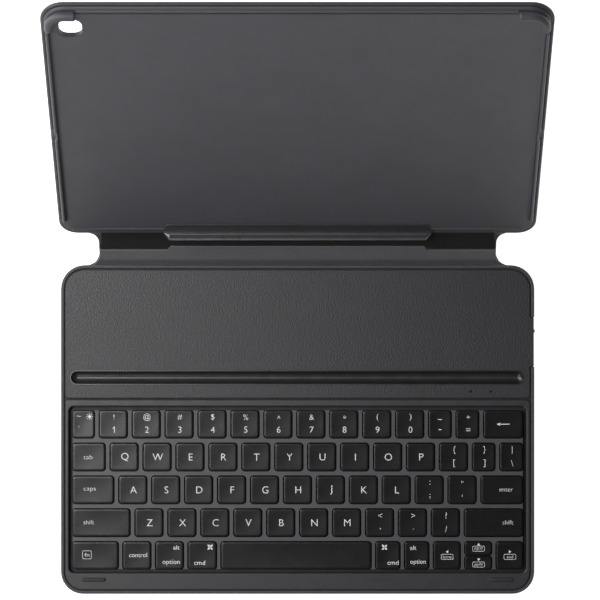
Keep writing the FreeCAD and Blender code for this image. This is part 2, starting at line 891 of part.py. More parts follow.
def make_screen_bumpers():
    """Two soft bars at the front that keep the tablet's glass off the keys."""
    bars = []
    for i, side in enumerate((-1, 1)):
        body = new_body(f"bumper_{i}")
        outline = new_sketch(body, "outline", level="dims.deck_top")
        rounded(
            outline,
            f"{side} * dims.bumper_x - dims.bumper_length / 2",
            f"{side} * dims.bumper_x + dims.bumper_length / 2",
            "dims.bumper_y - dims.bumper_width / 2",
            "dims.bumper_y + dims.bumper_width / 2",
            "dims.bumper_width / 2 * dims.bumper_end_share",
        )
        pad(body, outline, "dims.bumper_height")
        bars.append(body)
    return group("screen_bumpers", bars)


# ---------------------------------------------------------------- spine


def make_spine_skin():
    """The spine's outer strip, flaring in a quarter arc towards the deck and the cover."""
    body = new_body("spine_skin", spine_placement())
    flare = size("spine_flare")
    half = size("spine_width") / 2
    low = size("fold_gap")
    high = size("spine_length") - low
    drop = flare - low
    mouth = half + flare - math.sqrt(flare**2 - drop**2)
    sketch = new_sketch(body, "outline")
    up = Vector(0, 0, 1)
    start = math.atan2(-drop, -(half + flare - mouth))

    def line(a, b):
        sketch.addGeometry(Part.LineSegment(Vector(*a, 0), Vector(*b, 0)), False)

    def arc(centre_x, centre_y, begin, end):
        ring = Part.Circle(Vector(centre_x, centre_y, 0), up, flare)
        sketch.addGeometry(Part.ArcOfCircle(ring, begin, end), False)

    swing = start + 2 * math.pi
    inner_low = low + drop
    inner_high = high - drop
    line((-mouth, low), (mouth, low))
    arc(half + flare, inner_low, math.pi, swing)
    line((half, inner_low), (half, inner_high))
    arc(half + flare, inner_high, 2 * math.pi - swing, math.pi)
    line((mouth, high), (-mouth, high))
    arc(-half - flare, inner_high, 0, swing - math.pi)
    line((-half, inner_high), (-half, inner_low))
    arc(-half - flare, inner_low, math.pi - swing, 0)
    for g in range(sketch.GeometryCount):
        sketch.addConstraint(Sketcher.Constraint("Block", g))
    pad(body, sketch, "dims.skin_thickness")
    return body


def make_spine_board():
    body = new_body("spine_board", spine_placement())
    sketch = new_sketch(body, "outline", level="dims.skin_thickness")
    rounded(
        sketch,
        "-dims.spine_width / 2 + dims.spine_inset",
        "dims.spine_width / 2 - dims.spine_inset",
        "dims.fold_gap",
        "dims.spine_length - dims.fold_gap",
        "dims.spine_board_radius",
    )
    pad(body, sketch, "dims.laminate - dims.skin_thickness")
    return body


# ---------------------------------------------------------------- cover


def cover_sheet(label, low, high, low_radius, high_radius, inset, bottom, thickness):
    """One sheet of the cover, between two stations along it."""
    body = new_body(label, cover_placement())
    sketch = new_sketch(body, "outline", level=bottom)
    half = f"(dims.cover_width / 2 - {inset})"
    rounded(sketch, f"-{half}", half, low, high, low_radius, high_radius)
    pad(body, sketch, thickness)
    return body


def camera_window(body, top, depth):
    window = new_sketch(body, "window", level=top)
    rounded(
        window,
        "dims.camera_x - dims.camera_width / 2",
        "dims.camera_x + dims.camera_width / 2",
        "dims.camera_u - dims.camera_length / 2",
        "dims.camera_u + dims.camera_length / 2",
        "dims.camera_radius",
    )
    pocket(body, window, depth)


def make_cover_sheets():
    low_end = "dims.mid_fold - dims.fold_gap"
    high_start = "dims.mid_fold + dims.fold_gap"
    inset = "dims.board_inset"
    board = "dims.laminate - dims.skin_thickness"
    lower_skin = cover_sheet(
        "lower_back_skin",
        "dims.cover_start",
        low_end,
        "dims.cover_low_radius",
        "dims.cover_fold_radius",
        "0",
        "0",
        "dims.skin_thickness",
    )
    lower_board = cover_sheet(
        "lower_back_board",
        f"dims.cover_start + {inset} / 2",
        low_end,
        f"dims.cover_low_radius - {inset}",
        "dims.cover_fold_radius",
        inset,
        "dims.skin_thickness",
        board,
    )
    upper_skin = cover_sheet(
        "upper_back_skin",
        high_start,
        "dims.cover_end",
        "dims.cover_fold_radius",
        "dims.cover_top_radius",
        "0",
        "0",
        "dims.skin_thickness",
    )
    camera_window(upper_skin, "dims.skin_thickness", "dims.skin_thickness")
    thick_board = f"{board} + dims.adhesive"
    upper_board = cover_sheet(
        "upper_back_board",
        high_start,
        f"dims.cover_end - {inset}",
        "dims.cover_fold_radius",
        f"dims.cover_top_radius - {inset}",
        inset,
        "dims.skin_thickness",
        thick_board,
    )
    camera_window(upper_board, "dims.laminate + dims.adhesive", thick_board)
    return [lower_skin, lower_board, upper_skin, upper_board]


def tray_outline(sketch, inset="0"):
    half = f"(dims.tray_width / 2 - {inset})"
    rounded(
        sketch,
        f"-{half}",
        half,
        f"dims.tray_start + {inset}",
        f"dims.tray_end - {inset}",
        f"dims.tray_low_radius - {inset}",
        f"dims.tray_top_radius - {inset}",
    )


def make_tablet_tray():
    """The holder: a floor, low side and top walls, and tall curled guards at the top corners."""
    body = new_body("tablet_tray", cover_placement())
    floor_bottom = "dims.laminate + dims.adhesive"
    floor_top = f"({floor_bottom} + dims.tray_floor)"
    blank = new_sketch(body, "blank", level=floor_bottom)
    tray_outline(blank)
    pad(body, blank, f"dims.guard_top - ({floor_bottom})")

    # the space inside the curled edge, and then the tablet's own space under the curl
    mouth = new_sketch(body, "mouth", level="dims.guard_top")
    tray_outline(mouth, "dims.guard_curl")
    pocket(body, mouth, f"dims.guard_top - {floor_top}")
    under = new_sketch(body, "under_curl", level="dims.guard_top - dims.guard_roof")
    tray_outline(under, "dims.tray_wall")
    pocket(body, under, f"dims.guard_top - dims.guard_roof - {floor_top}")

    half = "dims.tray_width / 2"
    corner_x = f"({half} - dims.guard_reach)"
    corner_y = "(dims.tray_end - dims.guard_drop)"
    margin = "dims.tray_wall"

    # between the guards the walls drop to their own height
    low = new_sketch(body, "low_walls", level="dims.guard_top")
    rectangle(low, f"-{corner_x}", corner_x, f"dims.tray_start - {margin}", f"dims.tray_end + {margin}")
    pocket(body, low, "dims.guard_top - dims.wall_top")
    for side, name in ((-1, "left"), (1, "right")):
        drop = new_sketch(body, f"{name}_low_wall", level="dims.guard_top")
        inner, outer = f"{corner_x} - dims.overrun", f"{half} + {margin}"
        edges = (f"-({outer})", f"-({inner})") if side < 0 else (inner, outer)
        rectangle(drop, *edges, f"dims.tray_start - {margin}", corner_y)
        pocket(body, drop, "dims.guard_top - dims.wall_top")

        # the side wall stops short of the guard, and the bottom corner is open
        gap = new_sketch(body, f"{name}_gap", level="dims.guard_top")
        rectangle(gap, *edges, "dims.side_wall_end", corner_y)
        pocket(body, gap, f"dims.guard_top - {floor_top}")
        foot = new_sketch(body, f"{name}_foot", level="dims.guard_top")
        rectangle(foot, *edges, f"dims.tray_start - {margin}", "dims.side_wall_start")
        pocket(body, foot, f"dims.guard_top - {floor_top}")

        # the wall's outer face steps in beside the cover's middle fold
        notch = new_sketch(body, f"{name}_notch", level="dims.guard_top")
        step = f"({half} - dims.notch_depth)"
        cut_edges = (f"-({half}) - {margin}", f"-{step}") if side < 0 else (step, f"{half} + {margin}")
        rectangle(notch, *cut_edges, "dims.mid_fold - dims.notch_half", "dims.mid_fold + dims.notch_half")
        pocket(body, notch, f"dims.guard_top - {floor_bottom}")

        # a short gap between the guard and the top wall
        slit = new_sketch(body, f"{name}_slit", level="dims.guard_top")
        near, far = f"({corner_x} - dims.top_wall_gap)", corner_x
        slit_edges = (f"-{far}", f"-{near}") if side < 0 else (near, far)
        rectangle(slit, *slit_edges, f"dims.tray_end - {margin}", f"dims.tray_end + {margin}")
        pocket(body, slit, f"dims.guard_top - {floor_top}")

    # the bottom edge has no wall of its own: the lip is a separate piece
    bottom = new_sketch(body, "bottom", level="dims.guard_top")
    edge_limits = (f"dims.tray_start - {margin}", "dims.tray_start + dims.guard_curl")
    rectangle(bottom, f"-{corner_x}", corner_x, *edge_limits)
    pocket(body, bottom, f"dims.guard_top - {floor_top}")
    centre = new_sketch(body, "lip_seat", level="dims.guard_top")
    rectangle(
        centre,
        "-dims.lip_half_length - dims.lip_clearance",
        "dims.lip_half_length + dims.lip_clearance",
        f"dims.tray_start - {margin}",
        "dims.lip_inner",
    )
    pocket(body, centre, f"dims.guard_top - ({floor_bottom})")
    camera_window(body, floor_top, "dims.tray_floor")
    return body


def make_bottom_lip():
    """The hooked lip that takes the tablet's lower edge, with bevelled ends."""
    body = new_body("bottom_lip", cover_placement())
    profile = new_sketch(body, "profile", "YZ_Plane")
    under = "(dims.laminate + dims.adhesive)"
    floor_top = f"({under} + dims.tray_floor)"
    free_polygon(
        profile,
        [
            ("dims.lip_foot", under),
            ("dims.lip_inner", under),
            ("dims.lip_inner", floor_top),
            ("dims.lip_pad", floor_top),
            ("dims.lip_pad", f"{floor_top} + dims.lip_pad_thickness"),
            ("dims.lip_inner", f"{floor_top} + dims.lip_pad_thickness"),
            ("dims.lip_inner", "dims.lip_shoulder"),
            ("dims.lip_crest_end", "dims.lip_top"),
            ("dims.lip_crest", "dims.lip_top"),
            ("dims.lip_foot", "dims.lip_outer_shoulder"),
        ],
    )
    pad(body, profile, "2 * dims.lip_half_length", midplane=True)
    bevel = new_sketch(body, "bevel", "XZ_Plane")
    for side in (-1, 1):
        free_polygon(
            bevel,
            [
                (f"{side} * dims.lip_half_length", "dims.lip_shoulder - dims.overrun"),
                (f"{side} * (dims.lip_half_length + dims.overrun)", "dims.lip_top + dims.overrun"),
                (f"{side} * (dims.lip_half_length - dims.lip_bevel)", "dims.lip_top + dims.overrun"),
            ],
        )
    pocket(body, bevel, "4 * dims.lip_pad", midplane=True)
    return body


# ---------------------------------------------------------------- the whole object


def make_all():
    keys, key_cells, seats = make_keys()
    membrane_bottom = f"{FLOOR_TOP} + dims.plate_thickness"
    deck = [
        make_deck_cover_skin(),
        make_base_housing(),
        make_key_frame(),
        make_key_web(key_cells),
        make_stand_panel(),
        make_groove_liner(),
        key_sheet("support_plate", FLOOR_TOP, "dims.plate_thickness", "dims.plate_inset"),
        key_sheet("circuit_membrane", membrane_bottom, "dims.membrane_thickness", "dims.membrane_inset"),
        make_rubber_domes(seats),
        make_battery_pack(),
        make_control_board(),
        make_charging_port(),
        make_power_switch(),
        make_status_leds(),
        make_screen_bumpers(),
    ]
    spine = [make_spine_skin(), make_spine_board()]
    cover = [*make_cover_sheets(), make_tablet_tray(), make_bottom_lip()]
    return deck + spine + cover + keys


MOST_NODES = 60


def check(nodes):
    """Stops with a plain message if anything in the document failed."""
    doc.recompute()
    for item in doc.Objects:
        if "Invalid" in item.State or "Error" in item.State:
            raise RuntimeError(f"{item.Label} did not recompute: {item.State}")
    for node in nodes:
        if node.Shape.isNull() or not node.Shape.isValid() or not node.Shape.Solids:
            raise RuntimeError(f"{node.Label} has no valid solid")
    labels = [node.Label for node in nodes]
    if len(set(labels)) != len(labels) or len(labels) > MOST_NODES:
        raise RuntimeError(f"{len(labels)} nodes with {len(set(labels))} names")


def write(nodes):
    os.makedirs("parts", exist_ok=True)
    for node in nodes:
        node.Shape.exportStep(f"parts/{node.Label}.step")
        print(f"{node.Label}: {len(node.Shape.Solids)} solid(s), {node.Shape.Volume:.0f} mm3")
    print(f"{len(nodes)} nodes")


all_nodes = make_all()
check(all_nodes)
write(all_nodes)
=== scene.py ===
import json
import math

import bmesh
import bpy
from mathutils import Matrix, Vector


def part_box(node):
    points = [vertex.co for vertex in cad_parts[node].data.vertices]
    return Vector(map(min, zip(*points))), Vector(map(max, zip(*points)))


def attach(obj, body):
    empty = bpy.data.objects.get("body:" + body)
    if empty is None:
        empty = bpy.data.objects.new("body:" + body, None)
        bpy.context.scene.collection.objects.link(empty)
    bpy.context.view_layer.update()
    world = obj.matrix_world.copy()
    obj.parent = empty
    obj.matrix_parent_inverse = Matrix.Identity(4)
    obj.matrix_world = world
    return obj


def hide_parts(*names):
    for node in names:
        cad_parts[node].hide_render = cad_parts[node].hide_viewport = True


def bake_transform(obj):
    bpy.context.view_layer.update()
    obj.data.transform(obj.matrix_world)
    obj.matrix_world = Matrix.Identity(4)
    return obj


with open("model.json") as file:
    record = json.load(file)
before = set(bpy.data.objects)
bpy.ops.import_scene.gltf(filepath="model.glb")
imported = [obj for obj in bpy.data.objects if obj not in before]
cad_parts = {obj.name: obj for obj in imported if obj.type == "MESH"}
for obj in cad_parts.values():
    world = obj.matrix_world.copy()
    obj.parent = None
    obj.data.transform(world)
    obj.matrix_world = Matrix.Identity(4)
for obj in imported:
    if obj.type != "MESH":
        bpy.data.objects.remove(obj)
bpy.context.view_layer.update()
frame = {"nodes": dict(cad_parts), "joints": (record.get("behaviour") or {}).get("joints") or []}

# The looks of the tablet keyboard case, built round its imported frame.
# Lengths are millimetres in the deck's frame, or in the spine's or the cover's own frame
# (x across, y along it from its fold, z from its outer face inwards); build() turns them
# into metres in the row frame.

MM = 0.001


# ---------------- places, from the frame


def box(node):
    """A CAD node's limits in millimetres: two corners."""
    low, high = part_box(node)
    return low / MM, high / MM


def joint_place(name):
    joint = next(item for item in frame["joints"] if item["name"] == name)
    return Vector(joint["pos_m"]) / MM


LAMINATE = 2.2
DECK_FRAME = Matrix.Identity(4)


def sheet_frame(pivot, beyond):
    """The frame of a sheet that runs from its pivot to another point; z 0 is its outer face."""
    along = (beyond - pivot).normalized()
    across = Vector((1, 0, 0))
    inwards = across.cross(along)
    origin = pivot - inwards * LAMINATE / 2
    turn = Matrix((across, along, inwards)).transposed().to_4x4()
    return Matrix.Translation(origin) @ turn


low_fold = joint_place("spine_lower_fold")
high_fold = joint_place("spine_upper_fold")
mid_fold = joint_place("cover_mid_fold")
for fold in (low_fold, high_fold, mid_fold):
    fold.x = 0
SPINE_FRAME = sheet_frame(low_fold, high_fold)
COVER_FRAME = sheet_frame(high_fold, mid_fold)
SPINE_LENGTH = (high_fold - low_fold).length
MID_FOLD = (mid_fold - high_fold).length


# ---------------- outlines and solids

CRISP = 0.02
LEAST_ROUND = 0.05


def outline(corners, inset=0.0, steps=8):
    """The ring round a counterclockwise polygon of (x, y, radius) corners, moved in by an inset."""
    points = []
    count = len(corners)
    for i, (x, y, radius) in enumerate(corners):
        before = Vector(corners[i - 1][:2])
        here = Vector((x, y))
        after = Vector(corners[(i + 1) % count][:2])
        points += corner_arc(here, here - before, after - here, radius, inset, steps)
    return points


def corner_arc(here, arriving, leaving, radius, inset, steps):
    """The points that round one corner of a path, with the inside on its left."""
    arriving = arriving.normalized()
    leaving = leaving.normalized()
    left_before = Vector((-arriving.y, arriving.x))
    left_after = Vector((-leaving.y, leaving.x))
    shared = 1 + left_before.dot(left_after)
    corner = here + (left_before + left_after) * inset / shared
    turn = math.atan2(arriving.x * leaving.y - arriving.y * leaving.x, arriving.dot(leaving))
    straight = 1e-6
    if abs(turn) < straight:
        return [corner]
    side = 1 if turn > 0 else -1
    radius = max(radius - side * inset, CRISP)
    reach = radius * math.tan(abs(turn) / 2)
    centre = corner - arriving * reach + left_before * radius * side
    first = -left_before * radius * side
    points = []
    for k in range(steps + 1):
        angle = turn * k / steps
        c, s = math.cos(angle), math.sin(angle)
        points.append(centre + Vector((first.x * c - first.y * s, first.x * s + first.y * c)))
    return points


def rail(corners, inset=0.0, steps=10):
    """An open path through (x, y, radius) corners, moved to its left by an inset."""
    places = [Vector(corner[:2]) for corner in corners]
    points = []
    for i, here in enumerate(places):
        arriving = here - places[i - 1] if i else places[1] - here
        leaving = places[i + 1] - here if i + 1 < len(places) else arriving
        points += corner_arc(here, arriving, leaving, corners[i][2], inset, steps)
    return points


def rectangle(x0, x1, y0, y1, low_radius, high_radius=None):
    """The corners of a rounded rectangle, whose high-y side may have its own radius."""
    radius = low_radius if high_radius is None else high_radius
    return [(x0, y0, low_radius), (x1, y0, low_radius), (x1, y1, radius), (x0, y1, radius)]


def edge_profile(low, high, low_round, high_round, steps=4):
    """(inset, height) pairs up a wall whose bottom and top edges are rounded."""
    angles = [math.pi / 2 * k / steps for k in range(steps + 1)]
    arcs = [(1 - math.sin(angle), 1 - math.cos(angle)) for angle in angles]
    bottom = [(low_round * s, low + low_round * c) for s, c in arcs]
    return bottom + [(high_round * c, high - high_round * s) for s, c in arcs]


def ring(corners, inset, height):
    return [(p.x, p.y, height) for p in outline(corners, inset)]


def rings_up(corners, profile):
    """The rings of an outline at each (inset, height) of a profile."""
    return [ring(corners, inset, height) for inset, height in profile]


def loft(rings, loop=False):
    """Points and faces through closed rings of one length; loop joins the last to the first."""
    width = len(rings[0])
    points = [point for one in rings for point in one]
    faces = []
    for i in range(len(rings) if loop else len(rings) - 1):
        lower = i * width
        upper = (i + 1) % len(rings) * width
        for j in range(width):
            k = (j + 1) % width
            faces.append((lower + j, lower + k, upper + k, upper + j))
    if not loop:
        last = (len(rings) - 1) * width
        faces.append(tuple(range(width))[::-1])
        faces.append(tuple(range(last, last + width)))
    return points, faces


def slab(corners, low, high, low_round, high_round):
    """A plate with rounded edges."""
    return loft(rings_up(corners, edge_profile(low, high, low_round, high_round)))


def frame_slab(corners, hole, low, high, outer_round, hole_round):
    """A plate with rounded edges round one hole with as many corners."""
    rings = rings_up(corners, edge_profile(low, high, LEAST_ROUND, outer_round))
    wall = edge_profile(low, high, LEAST_ROUND, hole_round)[::-1]
    rings += [ring(hole, -inset, height) for inset, height in wall]
    return loft(rings, loop=True)


def merged(*parts):
    """Several (points, faces) pairs as one."""
    points, faces = [], []
    for part_points, part_faces in parts:
        start = len(points)
        points += list(part_points)
        faces += [tuple(i + start for i in face) for face in part_faces]
    return points, faces


def build(name, part, material, place=DECK_FRAME, body=None, slot=None, replaces=(), sharp=35):
    """One visible piece from points and faces; it rides on a body if one is given."""
    points, faces = part
    mesh = bpy.data.meshes.new(name)
    mesh.from_pydata([place @ Vector(p) * MM for p in points], [], faces)
    work = bmesh.new()
    work.from_mesh(mesh)
    bmesh.ops.recalc_face_normals(work, faces=work.faces)
    work.to_mesh(mesh)
    work.free()
    mesh.shade_smooth()
    mesh.set_sharp_from_angle(angle=math.radians(sharp))
    mesh.materials.append(material)
    piece = bpy.data.objects.new(name, mesh)
    bpy.context.scene.collection.objects.link(piece)
    if body:
        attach(piece, body)
    if replaces:
        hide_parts(*replaces)
    return piece


CUT_SHARP = 30
SOFTENED = 40


def cut_out(piece, part, place=DECK_FRAME):
    """Cuts a closed solid out of a piece."""
    cutter = build(piece.name + "_cutter", part, piece.data.materials[0], place)
    modifier = piece.modifiers.new("cut", "BOOLEAN")
    modifier.operation = "DIFFERENCE"
    modifier.solver = "EXACT"
    modifier.use_self = True
    modifier.object = cutter
    graph = bpy.context.evaluated_depsgraph_get()
    mesh = bpy.data.meshes.new_from_object(piece.evaluated_get(graph))
    piece.modifiers.remove(modifier)
    mesh.shade_smooth()
    mesh.set_sharp_from_angle(angle=math.radians(CUT_SHARP))
    piece.data = mesh
    bpy.data.objects.remove(cutter)


def soften(piece, width, segments=2):
    """Rounds a piece's sharp edges a little."""
    modifier = piece.modifiers.new("soft_edges", "BEVEL")
    modifier.width = width * MM
    modifier.segments = segments
    modifier.limit_method = "ANGLE"
    modifier.angle_limit = math.radians(SOFTENED)
    modifier.harden_normals = True


def even_shading(piece):
    """Keeps large flat faces flat next to their rounded edges."""
    modifier = piece.modifiers.new("even_shading", "WEIGHTED_NORMAL")
    modifier.weight = 90
    modifier.keep_sharp = True


# ---------------- materials


def new_material(name, roughness, specular=0.5):
    """A material, its nodes, its shader, and a coordinate socket in millimetres."""
    material = bpy.data.materials.new(name)
    material.use_nodes = True
    nodes = material.node_tree.nodes
    shader = nodes["Principled BSDF"]
    shader.inputs["Roughness"].default_value = roughness
    shader.inputs["Specular IOR Level"].default_value = specular
    coordinates = nodes.new("ShaderNodeTexCoord")
    mapping = nodes.new("ShaderNodeMapping")
    mapping.inputs["Scale"].default_value = (1 / MM,) * 3
    material.node_tree.links.new(coordinates.outputs["Object"], mapping.inputs["Vector"])
    return material, shader, mapping.outputs["Vector"]


def noise(material, vector, size, detail=2.0):
    """A noise texture whose features are about this many millimetres across."""
    texture = material.node_tree.nodes.new("ShaderNodeTexNoise")
    texture.inputs["Scale"].default_value = 1 / size
    texture.inputs["Detail"].default_value = detail
    material.node_tree.links.new(vector, texture.inputs["Vector"])
    return texture.outputs["Fac"]


def spread(material, value, low, high, start=0.3, end=0.7):
    """Maps a texture's middle range onto the range from low to high."""
    node = material.node_tree.nodes.new("ShaderNodeMapRange")
    node.inputs["From Min"].default_value = start
    node.inputs["From Max"].default_value = end
    node.inputs["To Min"].default_value = low
    node.inputs["To Max"].default_value = high
    material.node_tree.links.new(value, node.inputs["Value"])
    return node.outputs["Result"]


def tint(material, shader, value, colour, contrast):
    """Colours the surface, a little darker and lighter with a texture."""
    ramp = material.node_tree.nodes.new("ShaderNodeValToRGB")
    ramp.color_ramp.elements[0].position = 0.3
    ramp.color_ramp.elements[1].position = 0.7
    for element, factor in zip(ramp.color_ramp.elements, (1 - contrast, 1 + contrast)):
        element.color = (*(channel * factor for channel in colour), 1)
    material.node_tree.links.new(value, ramp.inputs["Fac"])
    material.node_tree.links.new(ramp.outputs["Color"], shader.inputs["Base Color"])


def relief(material, shader, layers, strength):
    """Bump from (texture, height in millimetres) layers."""
    nodes, links = material.node_tree.nodes, material.node_tree.links
    normal = None
    for value, height in layers:
        bump = nodes.new("ShaderNodeBump")
        bump.inputs["Strength"].default_value = strength
        bump.inputs["Distance"].default_value = height * MM
        links.new(value, bump.inputs["Height"])
        if normal is not None:
            links.new(normal, bump.inputs["Normal"])
        normal = bump.outputs["Normal"]
    links.new(normal, shader.inputs["Normal"])


def leatherette(name, colour, grain=0.8, roughness=0.52, specular=0.45):
    """Embossed film: small rounded pebbles with creases between them, matt with a soft sheen."""
    material, shader, vector = new_material(name, roughness, specular)
    nodes, links = material.node_tree.nodes, material.node_tree.links
    warp = nodes.new("ShaderNodeTexNoise")
    warp.inputs["Scale"].default_value = 0.9
    links.new(vector, warp.inputs["Vector"])
    bent = nodes.new("ShaderNodeVectorMath")
    bent.operation = "MULTIPLY_ADD"
    bent.inputs[1].default_value = (0.9, 0.9, 0.9)
    links.new(warp.outputs["Color"], bent.inputs[0])
    links.new(vector, bent.inputs[2])
    cells = nodes.new("ShaderNodeTexVoronoi")
    cells.feature = "SMOOTH_F1"
    cells.inputs["Scale"].default_value = 1 / grain
    cells.inputs["Smoothness"].default_value = 0.35
    links.new(bent.outputs["Vector"], cells.inputs["Vector"])
    pebbles = spread(material, cells.outputs["Distance"], 1.0, 0.0, 0.1, 0.75)
    mottle = nodes.new("ShaderNodeMath")
    mottle.operation = "MULTIPLY_ADD"
    mottle.inputs[1].default_value = 0.35
    links.new(pebbles, mottle.inputs[0])
    links.new(spread(material, noise(material, vector, 14.0, 3.0), 0.25, 0.38), mottle.inputs[2])
    tint(material, shader, mottle.outputs["Value"], colour, 0.2)
    worn = spread(material, pebbles, roughness + 0.08, roughness - 0.06, 0.2, 0.9)
    links.new(worn, shader.inputs["Roughness"])
    relief(material, shader, ((pebbles, 0.07), (noise(material, vector, 0.16), 0.012)), 0.7)
    shader.inputs["Sheen Weight"].default_value = 0.12
    shader.inputs["Sheen Roughness"].default_value = 0.5
    return material


def moulded(
    name, colour, roughness, texture=0.16, height=0.012, specular=0.5, contrast=0.05, handling=1.0
):
    """Moulded plastic or rubber: fine spark-eroded texture, faint flow and handling marks."""
    material, shader, vector = new_material(name, roughness, specular)
    links = material.node_tree.links
    tint(material, shader, noise(material, vector, 22.0, 4.0), colour, contrast)
    marks = noise(material, vector, 7.0, 5.0)
    rubbed = spread(material, marks, roughness - 0.04 * handling, roughness + 0.05 * handling)
    links.new(rubbed, shader.inputs["Roughness"])
    fine = noise(material, vector, texture)
    relief(material, shader, ((fine, height), (noise(material, vector, 9.0), 0.008)), 0.6)
    return material


def metal(name, colour, roughness, brush):
    """Drawn or rolled metal, with scratches along x."""
    material, shader, vector = new_material(name, roughness)
    links = material.node_tree.links
    shader.inputs["Metallic"].default_value = 1.0
    stretched = material.node_tree.nodes.new("ShaderNodeMapping")
    stretched.inputs["Scale"].default_value = (0.05, 1.0, 1.0)
    links.new(vector, stretched.inputs["Vector"])
    lines = noise(material, stretched.outputs["Vector"], brush, 3.0)
    tint(material, shader, lines, colour, 0.12)
    worn = spread(material, lines, roughness - 0.08, roughness + 0.1)
    links.new(worn, shader.inputs["Roughness"])
    relief(material, shader, ((lines, 0.01),), 0.4)
    return material


def clear_pipe(name):
    material, shader, vector = new_material(name, 0.18)
    tint(material, shader, noise(material, vector, 0.4), (0.02, 0.02, 0.022), 0.3)
    relief(material, shader, ((noise(material, vector, 0.2), 0.01),), 0.3)
    shader.inputs["Transmission Weight"].default_value = 0.35
    return material


COVER = leatherette("cover_leatherette", (0.048, 0.0472, 0.053), 0.75, 0.5)
PANEL = leatherette("panel_leatherette", (0.018, 0.0175, 0.0212), 0.8, 0.36, 0.50)
LINING = leatherette("lining_leatherette", (0.082, 0.081, 0.089), 0.6, 0.45, 1.0)
FRAME = moulded("frame_plastic", (0.018, 0.018, 0.0215), 0.40, 0.45, 0.03, 0.55)
WEB = moulded("web_plastic", (0.046, 0.046, 0.052), 0.42, 0.4, 0.02, 0.62)
TRAY = moulded("tray_soft_touch", (0.056, 0.055, 0.064), 0.5, 0.22, 0.008)
KEY = moulded("key_plastic", (0.0025, 0.0025, 0.003), 0.28, 0.25, 0.003, 0.40, 0.1, 0.35)
# the housing colour is also used as painted shade on the spine's strips beside the lip
HOUSING_AND_SHADE = moulded("housing_plastic", (0.006, 0.006, 0.007), 0.6)
GROOVE = moulded("groove_gloss", (0.012, 0.012, 0.013), 0.30, 0.9, 0.0005, 0.7)
LIP = moulded("lip_gloss", (0.030, 0.030, 0.033), 0.30, 0.5, 0.001, 1.0)
RUBBER = moulded("black_rubber", (0.018, 0.018, 0.019), 0.62, 0.3, 0.02)
# the gusset's near-black colour is partly the strip's own and partly painted shade of the upper
# fold under the holder
GUSSET_AND_SHADE = moulded("gusset_fabric_and_shade", (0.009, 0.009, 0.010), 0.7, 0.4, 0.03, 0.3)
FILM = moulded("black_film", (0.008, 0.008, 0.009), 0.5, 1.2, 0.01)
BOARD = moulded("solder_resist", (0.012, 0.045, 0.024), 0.35, 0.8, 0.02)
POUCH = moulded("cell_pouch", (0.10, 0.10, 0.11), 0.35, 1.5, 0.03)
INK = moulded("legend_ink", (0.78, 0.78, 0.80), 0.5, 0.12, 0.006)
COATED = moulded("black_coated_steel", (0.006, 0.006, 0.007), 0.5, 0.3, 0.004, 0.3)
PORT = metal("port_shell", (0.55, 0.55, 0.57), 0.3, 0.15)
PIPE = clear_pipe("light_pipe")


def finish_node(node, material, softened=0.0):
    """Gives a CAD node that is shown as it is its material, and soft edges."""
    piece = frame["nodes"][node]
    piece.data.materials.clear()
    piece.data.materials.append(material)
    if softened:
        soften(piece, softened)


# ---------------- deck


def grown(corners_box, grow):
    low, high = corners_box
    return low.x - grow, high.x + grow, low.y - grow, high.y + grow


FRONT_RADIUS = 12.0
REAR_RADIUS = 13.0
RIM = 1.8
SEAM = 0.6
SEAM_EXTRA = 0.25
OVERRUN = 1.0


def make_deck_wrap():
    """The leatherette wrap: underside, outer wall and raised rim, cut away at the port bay."""
    low, high = box("deck_cover_skin")
    base_top = box("base_housing")[0].z
    bottom_round, rim_round, inner_round = 1.5, 0.7, 0.35
    profile = edge_profile(low.z, high.z, bottom_round, rim_round)
    inner = edge_profile(base_top, high.z, CRISP, inner_round)[::-1]
    corners = rectangle(low.x, high.x, low.y, high.y, FRONT_RADIUS, REAR_RADIUS)
    rings = rings_up(corners, profile)
    rings += [ring(corners, RIM - inset, height) for inset, height in inner]
    wrap = build("deck_wrap", loft(rings), COVER)
    bay_front, bay_back = port_bay()
    clear, beyond, above = 0.3, 3.0, 4.0
    left, right = high.x - RIM - SEAM, high.x + beyond
    notch = rectangle(left, right, bay_front - clear, bay_back + clear, 1.0)
    cut_out(wrap, slab(notch, base_top, box("base_housing")[1].z + above, CRISP, CRISP))
    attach(wrap, "keyboard_deck")
    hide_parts("deck_cover_skin")


def port_bay():
    """The front and back limits of the tab that runs out to the deck's right edge."""
    reach = box("stand_panel")[1].x
    points = [v.co / MM for v in frame["nodes"]["stand_panel"].data.vertices]
    tolerance = 0.05
    edge = [p.y for p in points if p.x > reach - tolerance]
    return min(edge), max(edge)


def through(corners, low, high):
    """A cutter that passes through a plate between two corners."""
    return slab(corners, low.z - OVERRUN, high.z + OVERRUN, CRISP, CRISP)


def make_stand_panel():
    """The leatherette panel, with the groove's slot, the light holes and the port bay's tab."""
    low, high = box("stand_panel")
    left = low.x
    right = -low.x
    bay_front, bay_back = port_bay()
    rear = REAR_RADIUS - RIM - SEAM
    front, back = low.y + SEAM_EXTRA, high.y - SEAM_EXTRA
    corners = [
        (left, front, 2.0),
        (right, front, 2.0),
        (right, bay_front, 0.5),
        (high.x, bay_front, 0.8),
        (high.x, bay_back, 0.8),
        (right, bay_back, 0.5),
        (right, back, rear),
        (left, back, rear),
    ]
    panel = build("stand_panel_skin", slab(corners, low.z, high.z, CRISP, 0.4), PANEL)
    slot_gap, hole_gap = 0.1, 0.12
    slot_box = box("groove_liner")
    slot = rectangle(*grown(slot_box, slot_gap), (slot_box[1].y - slot_box[0].y) / 2)
    cut_out(panel, through(slot, low, high))
    for pipe_low, pipe_high in solids_of("status_leds"):
        hole = rectangle(*grown((pipe_low, pipe_high), hole_gap), (pipe_high.x - pipe_low.x) / 2)
        cut_out(panel, through(hole, low, high))
    soften(panel, 0.06)
    even_shading(panel)
    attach(panel, "keyboard_deck")
    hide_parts("stand_panel")


